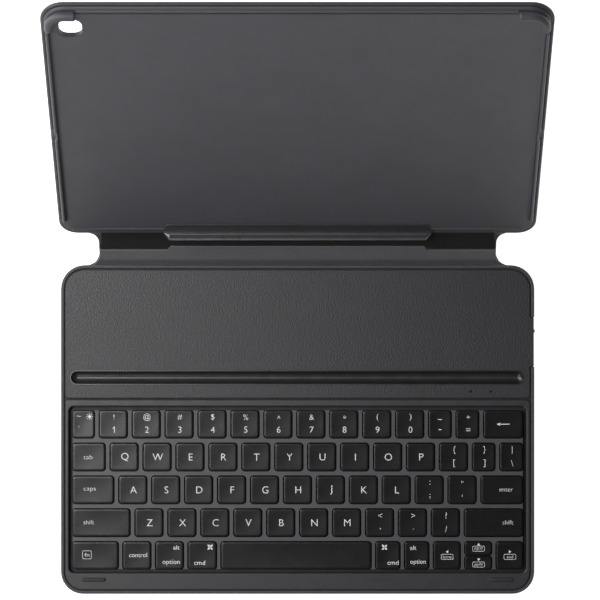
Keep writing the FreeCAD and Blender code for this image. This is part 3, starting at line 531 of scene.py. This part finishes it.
def extent(points):
    """The lowest and the highest corner of the box round some points."""
    low = Vector(min(p[axis] for p in points) for axis in range(3))
    high = Vector(max(p[axis] for p in points) for axis in range(3))
    return low, high


def solids_of(node):
    """The limits of each solid of a CAD node, in millimetres, from the back row and the left."""
    mesh = frame["nodes"][node].data
    places = {}
    index = []
    for vertex in mesh.vertices:
        key = tuple(round(c, 6) for c in vertex.co)
        index.append(places.setdefault(key, len(places)))
    parent = list(range(len(places)))

    def root(i):
        while parent[i] != i:
            parent[i] = parent[parent[i]]
            i = parent[i]
        return i

    for edge in mesh.edges:
        parent[root(index[edge.vertices[0]])] = root(index[edge.vertices[1]])
    groups = {}
    for key, i in places.items():
        groups.setdefault(root(i), []).append(key)
    limits = []
    for points in groups.values():
        low, high = extent(points)
        limits.append((low / MM, high / MM))
    return sorted(limits, key=lambda pair: (-round(pair[1].y), pair[0].x))


def make_key_frame():
    """The moulding round the key well."""
    low, high = box("key_frame")
    plate_low = box("stand_panel")[0].z
    corners = rectangle(low.x, high.x, low.y, high.y - SEAM_EXTRA, FRONT_RADIUS - RIM - SEAM, 2.0)
    edge = 0.7
    well = rectangle(*grown(box("support_plate"), -edge), 2.7)
    rings = rings_up(corners, edge_profile(plate_low, high.z, LEAST_ROUND, 0.4))
    chamfer = ((-0.75, 0.0), (-0.6, 0.04), (-0.12, 0.34), (0.0, 0.5))
    rings += [ring(well, inset, high.z - drop) for inset, drop in chamfer]
    rings.append(ring(well, 0.0, low.z))
    part, shown = loft(rings, loop=True), ("keyboard_deck", "frame_plastic", ("key_frame",))
    even_shading(build("key_surround", part, FRAME, DECK_FRAME, *shown, sharp=50))


KEY_CLEARANCE = 0.45
KEY_CORNER = 1.7


def make_web(all_keys):
    """The lattice between the keys, with rounded cells."""
    low, high = box("key_web")
    crown = 0.35
    left, right = min(key[0].x for key in all_keys), max(key[1].x for key in all_keys)
    front, back = min(key[0].y for key in all_keys), max(key[1].y for key in all_keys)
    plate = slab(rectangle(left, right, front, back, 0.4), low.z, high.z + crown, CRISP, CRISP)
    web = build("key_web_lattice", plate, WEB)
    cells = []
    for key_low, key_high in all_keys:
        corners = rectangle(*grown((key_low, key_high), KEY_CLEARANCE), KEY_CORNER + KEY_CLEARANCE)
        cells.append(through(corners, low, high))
    cut_out(web, merged(*cells))
    soften(web, 0.22, 3)
    even_shading(web)
    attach(web, "keyboard_deck")
    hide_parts("key_web")


FULL_ROUND = 0.98


def make_bumpers():
    """Two soft bars at the front corners, with full-round edges."""
    bars = []
    for low, high in solids_of("screen_bumpers"):
        half = (high.y - low.y) / 2
        corners = rectangle(low.x, high.x, low.y, high.y, half * FULL_ROUND)
        bars.append(slab(corners, low.z, high.z, CRISP, 0.75))
    shown = ("keyboard_deck", "soft_rubber", ("screen_bumpers",))
    build("front_bumpers", merged(*bars), RUBBER, DECK_FRAME, *shown)


# ---------------- keys

DISH = 0.12
CAP_EDGE = 0.4
CAP_DEPTH = 2.3
GROUPED = ("number_row_keys", "punctuation_keys", "function_keys", "arrow_keys")


def fall(x, y, half):
    """How far the dished top lies below the cap's rim, this far from its middle."""
    across = max(0.0, 1 - (x / (half.x - CAP_EDGE)) ** 2)
    along = max(0.0, 1 - (y / (half.y - CAP_EDGE)) ** 2)
    return DISH * across * along


def with_sides(points, pieces=6):
    """A ring of points whose four long sides are split up."""
    split = []
    quarter = len(points) // 4
    for i, point in enumerate(points):
        split.append(point)
        if i % quarter == quarter - 1:
            after = points[(i + 1) % len(points)]
            split += [point.lerp(after, k / pieces) for k in range(1, pieces)]
    return split


def key_cap(low, high):
    """A cap with soft edges and a shallow dish in its top."""
    corners = rectangle(low.x, high.x, low.y, high.y, KEY_CORNER)
    middle = (low + high) / 2
    half = (high - low) / 2
    bottom = high.z - CAP_DEPTH
    rings = []
    for inset, height in edge_profile(bottom, high.z, LEAST_ROUND, CAP_EDGE):
        rings.append([(p.x, p.y, height) for p in with_sides(outline(corners, inset))])
    deepest = min(half.x, half.y) - 0.1
    stages = 8
    for k in range(1, stages + 1):
        inset = CAP_EDGE + (deepest - CAP_EDGE) * k / stages
        top = []
        for p in with_sides(outline(corners, inset)):
            top.append((p.x, p.y, high.z - fall(p.x - middle.x, p.y - middle.y, half)))
        rings.append(top)
    return loft(rings)


def make_caps(node):
    caps = merged(*(key_cap(low, high) for low, high in solids_of(node)))
    build(f"{node}_caps", caps, KEY, DECK_FRAME, node, "key_plastic", (node,), sharp=50)


# legends: what stands on each cap, placed from the cap's centre


def glyphs(text, height, width=None, thinning=None):
    """A word's flat points and faces, centred, with its capitals this high."""
    curve = bpy.data.curves.new("legend", "FONT")
    curve.body = text
    curve.resolution_u = 3
    curve.align_x = "CENTER"
    curve.size = height / CAPITAL_RATIO
    curve.offset = -(STROKE_THINNING if thinning is None else thinning) * curve.size
    holder = bpy.data.objects.new("legend", curve)
    bpy.context.scene.collection.objects.link(holder)
    bpy.context.view_layer.update()
    graph = bpy.context.evaluated_depsgraph_get()
    mesh = bpy.data.meshes.new_from_object(holder.evaluated_get(graph))
    points = [tuple(v.co) for v in mesh.vertices]
    faces = [tuple(p.vertices) for p in mesh.polygons]
    bpy.data.objects.remove(holder)
    bpy.data.curves.remove(curve)
    bpy.data.meshes.remove(mesh)
    low, high = extent(points)
    squeeze = width / (high.x - low.x) if width else 1.0
    middle = (low + high) / 2
    return [((x - middle.x) * squeeze, y - middle.y) for x, y, _ in points], faces


CAPITAL_RATIO = 1.0
STROKE_THINNING = 0.008
THIN = 0.012
capital = glyphs("H", 1.0)[0]
CAPITAL_RATIO = max(p[1] for p in capital) - min(p[1] for p in capital)


def polygon(*points):
    return list(points), [tuple(range(len(points)))]


def bar(x0, x1, y0, y1):
    return polygon((x0, y0), (x1, y0), (x1, y1), (x0, y1))


def hoop(half_x, half_y, radius, line):
    """A rounded box drawn with a line."""
    outer = outline(rectangle(-half_x, half_x, -half_y, half_y, radius), 0.0, 4)
    inner = outline(rectangle(-half_x, half_x, -half_y, half_y, radius), line, 4)
    count = len(outer)
    faces = [(i, (i + 1) % count, count + (i + 1) % count, count + i) for i in range(count)]
    return [(p.x, p.y) for p in outer + inner], faces


def disc(radius, sides=12):
    angles = [2 * math.pi / sides * i for i in range(sides)]
    return polygon(*((radius * math.cos(angle), radius * math.sin(angle)) for angle in angles))


def turned(corners, angle):
    """A polygon turned about its cap's centre."""
    c, s = math.cos(angle), math.sin(angle)
    return polygon(*((x * c - y * s, x * s + y * c) for x, y in corners))


def lamp():
    """A backlight mark: a disc with eight short rays."""
    near, far, half = 1.15, 1.75, 0.17
    corners = ((near, -half), (far, -half), (far, half), (near, half))
    return merged(disc(0.8), *(turned(corners, math.pi / 4 * i) for i in range(8)))


def figure_one():
    """The digit 1 with a slanted flag."""
    top = DIGIT / 2
    flag = polygon((-0.85, 0.7), (0.0, top), (0.0, 1.1), (-0.62, 0.42))
    return merged(bar(0.0, 0.42, -top, top), flag)


def back_arrow():
    return merged(bar(-2.0, 3.4, -0.22, 0.22), polygon((-3.6, 0.0), (-1.8, -0.85), (-1.8, 0.85)))


def diamond():
    """A plain four-petalled mark for the command keys."""
    petal = ((0.1, 0.0), (1.0, -0.62), (2.0, 0.0), (1.0, 0.62))
    return merged(*(turned(petal, math.pi / 4 + math.pi / 2 * i) for i in range(4)))


def pointer(direction):
    x, y = direction
    tip, back, half = 0.85, -0.55, 0.8
    corners = ((tip, 0.0), (back, half), (back, -half))
    return polygon(*((a * x - b * y, a * y + b * x) for a, b in corners))


def moved(part, x, y):
    points, faces = part
    return [(px + x, py + y) for px, py in points], faces


def boxed(word, width, height, half_x, half_y):
    return merged(glyphs(word, height, width), hoop(half_x, half_y, 0.7, 0.22))


LETTER = 3.7
DIGIT = 3.3
WORD = 2.3
PRINT_SHIFT = 0.4


def pair(top, bottom, high=3.8, low=-3.0, top_size=2.9, bottom_size=DIGIT):
    """Two signs, one above the other."""
    signs = ((top, top_size, high), (bottom, bottom_size, low))
    return [moved(glyphs(sign, size), PRINT_SHIFT, y) for sign, size, y in signs]


def number_row_legends():
    signs = ["~`", "!1", "@2", "#3", "$4", "%5", "^6", "&7", "*8", "(9", ")0", "_-", "+="]
    keys = [pair(top, bottom) for top, bottom in signs]
    tilde, grave = moved(glyphs("~", 2.9), -2.5, 4.3), moved(glyphs("`", 3.4), -2.6, -1.3)
    keys[0] = [tilde, grave, moved(lamp(), 3.3, 4.1)]
    keys[1] = [moved(glyphs("!", 2.9), PRINT_SHIFT, 3.8), moved(figure_one(), PRINT_SHIFT, -3.0)]
    underline, minus = bar(-1.1, 1.1, -0.18, 0.18), bar(-0.8, 0.8, -0.2, 0.2)
    keys[11] = [moved(underline, 0, 2.5), moved(minus, 0, -3.0)]
    return keys


def punctuation_legends():
    signs = ["{[", "}]", "|\\", ":;", "\"'", "<,", ">.", "?/"]
    keys = [pair(top, bottom, 3.9, -3.4, 3.1, 3.1) for top, bottom in signs]
    keys[4] = [moved(glyphs('"', 3.1), 0, 4.2), moved(glyphs("'", 3.1), 0, -3.2)]
    return keys


def modifier_word(word, width, x, y, thinning=0.0):
    return moved(glyphs(word, WORD, width, thinning), x, y)


def function_legends():
    fn = [moved(boxed("fn", 2.6, 1.9, 2.5, 2.3), -4.6, 0.4)]
    control = [modifier_word("control", 9.8, 0.7, 0.3)]
    left_option = [modifier_word("alt", 3.4, 3.8, 4.4), modifier_word("option", 9.3, 0.9, -3.8)]
    left_command = [moved(diamond(), 4.3, 4.6), modifier_word("cmd", 6.0, -1.4, -3.9)]
    right_command = [moved(diamond(), -1.8, 4.5), modifier_word("cmd", 6.1, 2.8, -3.8)]
    right_option = [modifier_word("alt", 3.4, -1.9, 4.3), modifier_word("option", 8.4, 0.7, -3.7)]
    return [fn, control, left_option, left_command, right_command, right_option]


def arrow_legends():
    def marked(direction, word, width, high, low):
        label = boxed(word, width, 1.5, 3.35, 1.5)
        return [moved(pointer(direction), 0.2, high), moved(label, 0.2, low)]

    left = marked((-1, 0), "home", 4.6, 2.1, -0.7)
    up = marked((0, 1), "pgup", 4.4, 2.2, -0.1)
    right = marked((1, 0), "end", 3.4, 2.1, -0.7)
    down = marked((0, -1), "pgdn", 4.4, 1.7, -1.0)
    return [left, up, right, down]


LEGENDS = {
    "number_row_keys": number_row_legends(),
    "punctuation_keys": punctuation_legends(),
    "function_keys": function_legends(),
    "arrow_keys": arrow_legends(),
    "key_backspace": [[back_arrow()]],
    "key_tab": [[modifier_word("tab", 5.0, -0.5, 0.0, THIN)]],
    "key_caps_lock": [[modifier_word("caps", 6.6, -1.9, 0.0, THIN)]],
    "key_enter": [[modifier_word("enter", 7.5, 2.3, 0.0, THIN)]],
    "key_shift_left": [[modifier_word("shift", 5.8, -6.8, 0.3, THIN)]],
    "key_shift_right": [[modifier_word("shift", 5.8, 7.7, 0.2, THIN)]],
}


def legends_of(node):
    if node in LEGENDS:
        return LEGENDS[node]
    letter = node.removeprefix("key_")
    return [[moved(glyphs(letter.upper(), LETTER), PRINT_SHIFT, 0)]] if len(letter) == 1 else []


def make_legends(node):
    """Printed marks that lie on the dished tops."""
    ink_height = 0.03
    parts = []
    for (low, high), marks in zip(solids_of(node), legends_of(node)):
        middle = (low + high) / 2
        half = (high - low) / 2
        for points, faces in marks:
            placed = []
            for x, y in points:
                placed.append((x + middle.x, y + middle.y, high.z + ink_height - fall(x, y, half)))
            parts.append((placed, faces))
    if parts:
        build(f"{node}_legends", merged(*parts), INK, body=node, slot="legend_ink")


def key_nodes():
    others = ("key_frame", "key_web")
    single = sorted(n for n in frame["nodes"] if n.startswith("key_") and n not in others)
    return single + list(GROUPED)


def make_keys():
    everything = []
    for node in key_nodes():
        everything += solids_of(node)
        make_caps(node)
        make_legends(node)
    return everything


# ---------------- spine and cover sheets


def cover_points(node):
    """A CAD node's points in the cover's own frame."""
    back = COVER_FRAME.inverted()
    return [back @ (v.co / MM) for v in frame["nodes"][node].data.vertices]


def cover_limits(node):
    return extent(cover_points(node))


SKIN = 0.9
FOLD_MARGIN = 3.2
FLARE = 7.5


def spine_half_width(along):
    """The spine's half width, flaring in a quarter arc towards the deck's and the cover's edges."""
    waist = box("spine_board")[1].x + 1.2
    to_deck = low_fold.y - box("deck_cover_skin")[1].y
    to_cover = cover_limits("lower_back_skin")[0].y
    near = min(along + to_deck, SPINE_LENGTH - along + to_cover)
    if near >= FLARE:
        return waist
    drop = FLARE - max(near, 0.0)
    return waist + FLARE - math.sqrt(max(FLARE**2 - drop**2, 0.0))


def ribbon(stations, half_widths, outer, inner):
    """A sheet along stations of (middle point, inward normal) with rounded side edges."""
    loops = []
    half_thickness = (inner - outer) / 2
    level = (inner + outer) / 2 - LAMINATE / 2
    steps = 6
    columns = 24
    for (middle, normal), half_width in zip(stations, half_widths):
        loop = []
        straight = half_width - half_thickness
        for side in (1, -1):
            for k in range(steps + 1):
                angle = math.pi * k / steps - math.pi / 2
                across = side * (straight + half_thickness * math.cos(angle))
                loop.append((across, side * half_thickness * math.sin(angle)))
            for k in range(1, columns):
                loop.append((side * straight * (1 - 2 * k / columns), side * half_thickness))
        points = []
        for across, rise in loop:
            points.append(Vector((across, 0, 0)) + middle + normal * (level + rise))
        loops.append(points)
    return loft(loops)


def bend(pivot, arriving, leaving, before, after, smooth=1.6, steps=10):
    """Stations along a path that turns smoothly at a pivot, with the distance of each from it."""
    stations, distances = [], []

    def add(point, direction, distance):
        normal = Vector((1, 0, 0)).cross(direction.normalized())
        stations.append((point, normal))
        distances.append(distance)

    add(pivot - arriving * before, arriving, -before)
    for k in range(steps + 1):
        t = k / steps
        first = pivot - arriving * smooth
        last = pivot + leaving * smooth
        point = first * (1 - t) ** 2 + pivot * 2 * t * (1 - t) + last * t**2
        direction = (pivot - first) * (1 - t) + (last - pivot) * t
        add(point, direction, smooth * (2 * t - 1))
    add(pivot + leaving * after, leaving, after)
    return stations, distances


def direction_of(place):
    return (place.to_3x3() @ Vector((0, 1, 0))).normalized()


def blended(name, part, material, bodies, pivot, arriving, leaving, reach):
    """A piece of fabric built in place, already bent by its sheet; it rides on no body, and bodies,
    pivot, arriving, leaving and reach are not used.
    """
    piece = build(name, part, material, slot="cover_fabric")
    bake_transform(piece)
    return piece


def make_folds():
    """The cover's fabric where it crosses the three folds."""
    flat = Vector((0, 1, 0))
    spine = direction_of(SPINE_FRAME)
    cover = direction_of(COVER_FRAME)
    outer, inner = 0.35, 1.75
    reach = 1.9

    lower = ((low_fold, flat, spine), (2.4, 2.6), 0.0)
    upper = ((high_fold, spine, cover), (2.6, 4.2), SPINE_LENGTH)
    for name, bodies, (path, ends, along) in (
        ("lower_fold_fabric", ("keyboard_deck", "spine"), lower),
        ("upper_fold_fabric", ("spine", "lower_flap"), upper),
    ):
        stations, distances = bend(*path, *ends)
        widths = [spine_half_width(along + distance) for distance in distances]
        sheet = ribbon(stations, widths, outer, inner)
        blended(name, sheet, COVER, bodies, *path, reach)

    inside = 0.06
    stations = bend(mid_fold, cover, cover, FOLD_MARGIN, FOLD_MARGIN)[0]
    half = box("lower_back_skin")[1].x - 0.04
    sheet = ribbon(stations, [half] * len(stations), inside, LAMINATE - inside)
    bodies = ("lower_flap", "tablet_holder")
    blended("mid_fold_fabric", sheet, COVER, bodies, mid_fold, cover, cover, reach)


def flared_side(start, end, inset, radius, steps):
    """The spine's right side between two distances from the deck's fold."""
    stops = [start + (end - start) * k / steps for k in range(steps + 1)]
    return [(spine_half_width(s) - inset, s, radius) for s in stops]


def both_sides(right):
    """A counterclockwise outline from its right half."""
    return right + [(-x, y, radius) for x, y, radius in reversed(right)]


def make_spine():
    """The spine's outer strip, its padded lining, and the two dark strips beside the lip, whose
    dark colour is painted shade of the fold.
    """
    corners = both_sides(flared_side(1.2, SPINE_LENGTH - 1.2, 0.0, 0.3, 24))
    skin, shown = rings_up(corners, ((0.0, 0.15), (0.0, SKIN))), ("spine", "cover_fabric")
    build("spine_cover", loft(skin), COVER, SPINE_FRAME, *shown, ("spine_skin",))
    pad_start = -1.1
    pad_end = 8.9
    tongue_end = 11.4
    tongue = 70.3
    right = flared_side(pad_start, pad_end, 0.25, 0.1, 14)
    shoulder = [(tongue, pad_end, 0.8), (tongue - 1.2, tongue_end, 1.0)]
    corners = both_sides(right + shoulder)
    half = spine_half_width(pad_end) - 0.3
    part, shown = slab(corners, SKIN, LAMINATE + 0.1, CRISP, 0.45), ("spine", "panel_leatherette")
    even_shading(build("spine_lining", part, LINING, SPINE_FRAME, *shown, ("spine_board",)))
    # the strips beside the lip take the housing's near-black colour as painted shade where the fold
    # lies in shadow
    strips = []
    strip_end = 12.8
    for side in (-1, 1):
        ends = sorted((side * (tongue + 0.6), side * half))
        strips.append(slab(rectangle(*ends, pad_end + 0.3, strip_end, 0.5), SKIN, 1.7, CRISP, 0.4))
    build("spine_shade_strips", merged(*strips), HOUSING_AND_SHADE, SPINE_FRAME, "spine", "cover_fabric")


def make_gusset_and_shade():
    """The dark strip inside the upper fold, between the lining and the holder; its dark colour is
    partly the strip's own and partly painted shade of the fold under the holder and in front of its
    lip.
    """
    spine = direction_of(SPINE_FRAME)
    cover = direction_of(COVER_FRAME)
    smooth = 4.5
    stations = bend(high_fold, spine, cover, 7.2, 7.6, smooth, 14)[0]
    half = box("spine_board")[1].x - 0.2
    sheet = ribbon(stations, [half] * len(stations), 1.6, 2.15)
    bodies = ("spine", "lower_flap")
    blended("fold_gusset_and_shade", sheet, GUSSET_AND_SHADE, bodies, high_fold, spine, cover, smooth)


def camera_corners():
    """The camera window, found from the cover's own mesh."""
    points = cover_points("upper_back_skin")
    low, high = extent(points)
    margin = 7.0
    across = (low.x + margin, high.x - margin)
    along = (low.y + margin, high.y - margin)
    inside = [p for p in points if across[0] < p.x < across[1] and along[0] < p.y < along[1]]
    return rectangle(*grown(extent(inside), 0.0), 4.5)


def edge_lines(start, end):
    """The pressed lines in the cover beside the holder's side walls."""
    side = cover_limits("tablet_tray")[1].x
    near, far, depth = 0.1, 0.62, 1.1
    lines = []
    for x0, x1 in ((side + near, side + far), (-side - far, -side - near)):
        strip = rectangle(x0, x1, start, end, (far - near) / 2 * FULL_ROUND)
        lines.append(slab(strip, LAMINATE - depth, LAMINATE + OVERRUN, CRISP, CRISP))
    return merged(*lines)


WALL_START = 15.0
WALL_END = 165.0
COVER_EDGE = 0.9


def make_cover_sheets():
    """The two rigid stretches of the cover, with turned, rounded edges."""
    low, high = cover_limits("lower_back_skin")
    flap = rectangle(low.x, high.x, low.y, high.y, 10.0, 0.2)
    sheet = slab(flap, low.z, LAMINATE, COVER_EDGE, COVER_EDGE)
    lower = build("flap_cover", sheet, COVER, COVER_FRAME)
    cut_out(lower, edge_lines(WALL_START, MID_FOLD - FOLD_MARGIN), COVER_FRAME)
    even_shading(lower)
    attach(lower, "lower_flap")
    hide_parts("lower_back_skin", "lower_back_board")
    low, high = cover_limits("upper_back_skin")
    back = rectangle(low.x, high.x, low.y, high.y, 0.2, 12.0)
    outer = edge_profile(low.z, LAMINATE, COVER_EDGE, COVER_EDGE)
    hole = edge_profile(low.z, LAMINATE, 0.4, CRISP)[::-1]
    rings = rings_up(back, outer)
    rings += [ring(camera_corners(), -inset, height) for inset, height in hole]
    upper = build("back_cover", loft(rings, loop=True), COVER, COVER_FRAME)
    cut_out(upper, edge_lines(MID_FOLD + FOLD_MARGIN, WALL_END), COVER_FRAME)
    even_shading(upper)
    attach(upper, "tablet_holder")
    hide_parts("upper_back_skin", "upper_back_board")


# ---------------- tablet holder

LOW_RADIUS = 7.5
TOP_RADIUS = 10.5
FLOOR_LOW = 2.3
FLOOR = 3.6
WALL = 2.2
WALL_TOP = 5.2
TOP_WALL = 4.9


def wall_section(height, step=0.0):
    """A low wall's section as (inset, height) points: rounded top, filleted foot."""
    top = []
    half = (WALL - step) / 2
    steps = 6
    crown = min(half, height - FLOOR)
    for k in range(steps + 1):
        angle = math.pi - math.pi * k / steps
        top.append((step + half + half * math.cos(angle), height - crown + crown * math.sin(angle)))
    foot = []
    reach = 1.5
    rise = min(reach, height - FLOOR)
    for k in range(5):
        angle = math.pi / 2 * k / 4
        foot.append((WALL + reach * (1 - math.cos(angle)), FLOOR + rise * (1 - math.sin(angle))))
    return [(step, FLOOR_LOW)] + top + foot + [(WALL + reach, FLOOR_LOW)]


def arc(middle, radius, start, end, steps):
    """Section points round a centre; the angle is measured from straight outwards, in degrees."""
    x, y = middle
    angles = [math.radians(start + (end - start) * k / steps) for k in range(steps + 1)]
    return [(x - radius * math.cos(angle), y + radius * math.sin(angle)) for angle in angles]


def guard_section():
    """A corner guard's section: a thick wall that rolls over like a tube."""
    middle = (2.4, 6.4)
    outside = arc(middle, 2.4, -55, 165, 16)
    inside = arc(middle, 1.5, 165, 0, 10)
    foot = [(1.3, 5.2), (WALL, 4.4), (WALL + 0.1, FLOOR_LOW)]
    return [(0.9, FLOOR_LOW)] + outside + inside + foot


def band_section():
    """The skirt round the holder's top, which overhangs the cover by a shadow gap."""
    outside = [(1.4, FLOOR_LOW), (0.05, 2.72), (0.0, 2.85), (0.1, 3.15), (0.5, 3.6)]
    return outside + [(1.1, 3.95), (1.7, 4.05), (2.6, 4.05), (2.6, FLOOR_LOW)]


def straight_wall(side_x, start, end, notch=None):
    """A wall along one side of the holder, with rounded ends and a step beside the middle fold."""
    rounding = 1.6
    ends = [(rounding * k / 4, math.sqrt(1 - (1 - k / 4) ** 2)) for k in range(5)]
    stations = [(start + run, share, 0.0) for run, share in ends]
    if notch:
        centre, half, depth = notch
        ramp = ((half, 0), (half - 0.5, 0.5), (half - 1, 1))
        offsets = [(-offset, share) for offset, share in ramp] + list(ramp[::-1])
        stations += [(centre + offset, 1.0, depth * share) for offset, share in offsets]
    stations += [(end - run, share, 0.0) for run, share in reversed(ends)]
    loops = []
    sign = 1 if side_x > 0 else -1
    least = FLOOR + 0.05
    for y, share, step in stations:
        height = least + (WALL_TOP - least) * share
        section = wall_section(height, step)
        loops.append([(side_x - sign * inset, y, level) for inset, level in section])
    return loft(loops)


def swept(corners, section, tip):
    """A section carried along a rail, with rounded ends."""
    columns = [rail(corners, inset) for inset, _ in section]
    heights = [level for _, level in section]
    count = len(columns[0])
    loops = []
    for i in range(count):
        loops.append([(column[i].x, column[i].y, level) for column, level in zip(columns, heights)])
    first, last = rounded_end(loops[0], loops[1], tip), rounded_end(loops[-1], loops[-2], tip)
    return loft(first[::-1] + loops + last)


def rounded_end(loop, neighbour, tip):
    """Ever smaller loops that close a sweep's end like a fingertip."""
    outwards = (Vector(loop[0]) - Vector(neighbour[0])).normalized()
    centre = sum((Vector(p) for p in loop), Vector()) / len(loop)
    loops = []
    steps, round_share, shrink = 5, 0.93, 0.55
    for k in range(1, steps + 1):
        angle = math.pi / 2 * k / steps * round_share
        size = 1 - (1 - math.cos(angle)) * shrink
        pushed = centre + outwards * tip * math.sin(angle)
        loops.append([tuple(pushed + (Vector(p) - centre) * size) for p in loop])
    return loops


def make_tray():
    """The holder: floor with the camera hole, low walls, and rolled guards at the top corners."""
    low, high = cover_limits("tablet_tray")
    corners = rectangle(low.x, high.x, low.y, high.y, LOW_RADIUS, TOP_RADIUS)
    floor = frame_slab(corners, camera_corners(), FLOOR_LOW, FLOOR, 0.5, 0.5)
    reach, drop, slit = 15.0, 11.5, 1.6
    notch = (MID_FOLD, 3.6, 0.9)
    section = guard_section()
    left, right, back = low.x, high.x, high.y
    left_guard = [(left + reach, back, 0), (left, back, TOP_RADIUS), (left, back - drop, 0)]
    right_guard = [(right, back - drop, 0), (right, back, TOP_RADIUS), (right - reach, back, 0)]
    top_rail = [(right - reach - slit, back, 0), (left + reach + slit, back, 0)]
    side_out, top_out = 0.15, 1.3
    x0, x1, top = low.x - side_out, high.x + side_out, high.y + top_out
    skirt_end = WALL_END + 1.0
    radius = TOP_RADIUS + 0.7
    skirt = [(x1, skirt_end, 0), (x1, top, radius), (x0, top, radius), (x0, skirt_end, 0)]
    parts = [
        floor,
        straight_wall(low.x, WALL_START, WALL_END - 1.0, notch),
        straight_wall(high.x, WALL_START, WALL_END - 1.0, notch),
        swept(skirt, band_section(), 0.2),
        swept(top_rail, wall_section(TOP_WALL), 0.3),
        swept(left_guard, section, 1.2),
        swept(right_guard, section, 1.2),
    ]
    lip_half = cover_limits("bottom_lip")[1].x
    for x0, x1 in ((low.x + 5.0, -lip_half + 0.4), (lip_half - 0.4, high.x - 5.0)):
        bead = rectangle(x0, x1, low.y + 0.1, low.y + 1.5, 0.5)
        parts.append(slab(bead, FLOOR - 0.3, FLOOR + 0.45, CRISP, 0.4))
    shown = ("tablet_holder", "tray_plastic", ("tablet_tray",))
    even_shading(build("holder_moulding", merged(*parts), TRAY, COVER_FRAME, *shown, sharp=45))


def make_lip():
    """The hooked lip at the holder's bottom edge, its ends bevelled, with the pad behind it."""
    low, high = cover_limits("bottom_lip")
    half = high.x
    bevel = 3.0
    shoulder = 7.2
    section = [
        (low.y, low.z),
        (low.y, 6.0),
        (low.y + 0.5, 7.4),
        (6.5, 10.1),
        (6.65, high.z - 0.15),
        (6.85, high.z),
        (7.4, high.z - 0.8),
        (7.65, high.z - 1.35),
        (7.9, shoulder + 0.6),
        (8.3, shoulder + 0.15),
        (8.75, shoulder),
        (8.9, shoulder - 0.25),
        (8.7, shoulder - 0.6),
        (8.0, shoulder - 1.0),
        (8.0, FLOOR),
        (8.0, low.z),
    ]
    loops = []
    for x, drawn_in in ((-half, 1), (-half + bevel, 0), (half - bevel, 0), (half, 1)):
        crest = high.z - (high.z - shoulder + 1.0) * drawn_in
        loops.append([(x, y, min(level, crest)) for y, level in section])
    almost = 0.97
    loops.insert(1, [(-half + bevel * almost, y, level) for _, y, level in loops[1]])
    lip = loft(loops)
    pad_outline = rectangle(-half + 0.5, half - 0.5, 8.0, high.y, 0.3, 2.2)
    pad = slab(pad_outline, FLOOR - 0.1, FLOOR + 0.6, CRISP, 0.25)
    shown = ("tablet_holder", "groove_plastic", ("bottom_lip",))
    even_shading(build("lip_moulding", merged(lip, pad), LIP, COVER_FRAME, *shown, sharp=40))


# ---------------- everything

make_deck_wrap()
make_stand_panel()
make_key_frame()
make_web(make_keys())
make_bumpers()
make_folds()
make_spine()
make_gusset_and_shade()
make_cover_sheets()
make_tray()
make_lip()
for shown, (finish, edge) in {
    "base_housing": (HOUSING_AND_SHADE, 0.2),
    "groove_liner": (GROOVE, 0.0),
    "support_plate": (COATED, 0.0),
    "circuit_membrane": (FILM, 0.0),
    "rubber_domes": (RUBBER, 0.0),
    "battery_pack": (POUCH, 0.4),
    "control_board": (BOARD, 0.0),
    "charging_port": (PORT, 0.0),
    "status_leds": (PIPE, 0.0),
    "power_switch": (HOUSING_AND_SHADE, 0.2),
}.items():
    finish_node(shown, finish, edge)


# ---------------- stage, light and camera


def make_floor():
    material, shader, vector = new_material("pale_floor", 0.7, 0.2)
    tint(material, shader, noise(material, vector, 90.0), (0.86, 0.86, 0.86), 0.01)
    shader.inputs["Emission Color"].default_value = (1, 1, 1, 1)
    shader.inputs["Emission Strength"].default_value = 1.0
    half, below = 6000, -0.1
    points, faces = bar(-half, half, -half, half)
    floor = build("floor", ([(x, y, below) for x, y in points], faces), material)


def add_light(name, place, target, width, depth, power):
    lamp_data = bpy.data.lights.new(name, "AREA")
    lamp_data.shape = "RECTANGLE"
    lamp_data.size = width
    lamp_data.size_y = depth
    lamp_data.energy = power
    lamp_object = bpy.data.objects.new(name, lamp_data)
    lamp_object.location = place
    aim = Vector(target) - Vector(place)
    lamp_object.rotation_euler = aim.to_track_quat("-Z", "Y").to_euler()
    bpy.context.scene.collection.objects.link(lamp_object)


def make_world(strength):
    world = bpy.data.worlds.new("studio")
    world.use_nodes = True
    background = world.node_tree.nodes["Background"]
    background.inputs["Color"].default_value = (1, 1, 1, 1)
    background.inputs["Strength"].default_value = strength
    bpy.context.scene.world = world


def make_camera():
    camera_data = bpy.data.cameras.new("camera")
    camera_data.sensor_width = 36.0
    camera_data.lens = 189.9
    camera_data.clip_end = 20.0
    camera = bpy.data.objects.new("camera", camera_data)
    camera.location = (0.0013, 0.0704, 1.728)
    bpy.context.scene.collection.objects.link(camera)
    bpy.context.scene.camera = camera


make_floor()
add_light("window", (-0.58, 0.36, 0.45), (0.0, 0.08, 0.03), 0.35, 0.7, 4.6)
add_light("overhead", (-0.46, 0.12, 1.50), (0.0, 0.08, 0.0), 0.30, 0.45, 8.0)
add_light("front_fill", (-0.50, -0.55, 0.85), (0.0, 0.13, 0.04), 0.6, 0.3, 2.6)
make_world(0.10)
make_camera()
bpy.context.scene.view_settings.view_transform = "Standard"
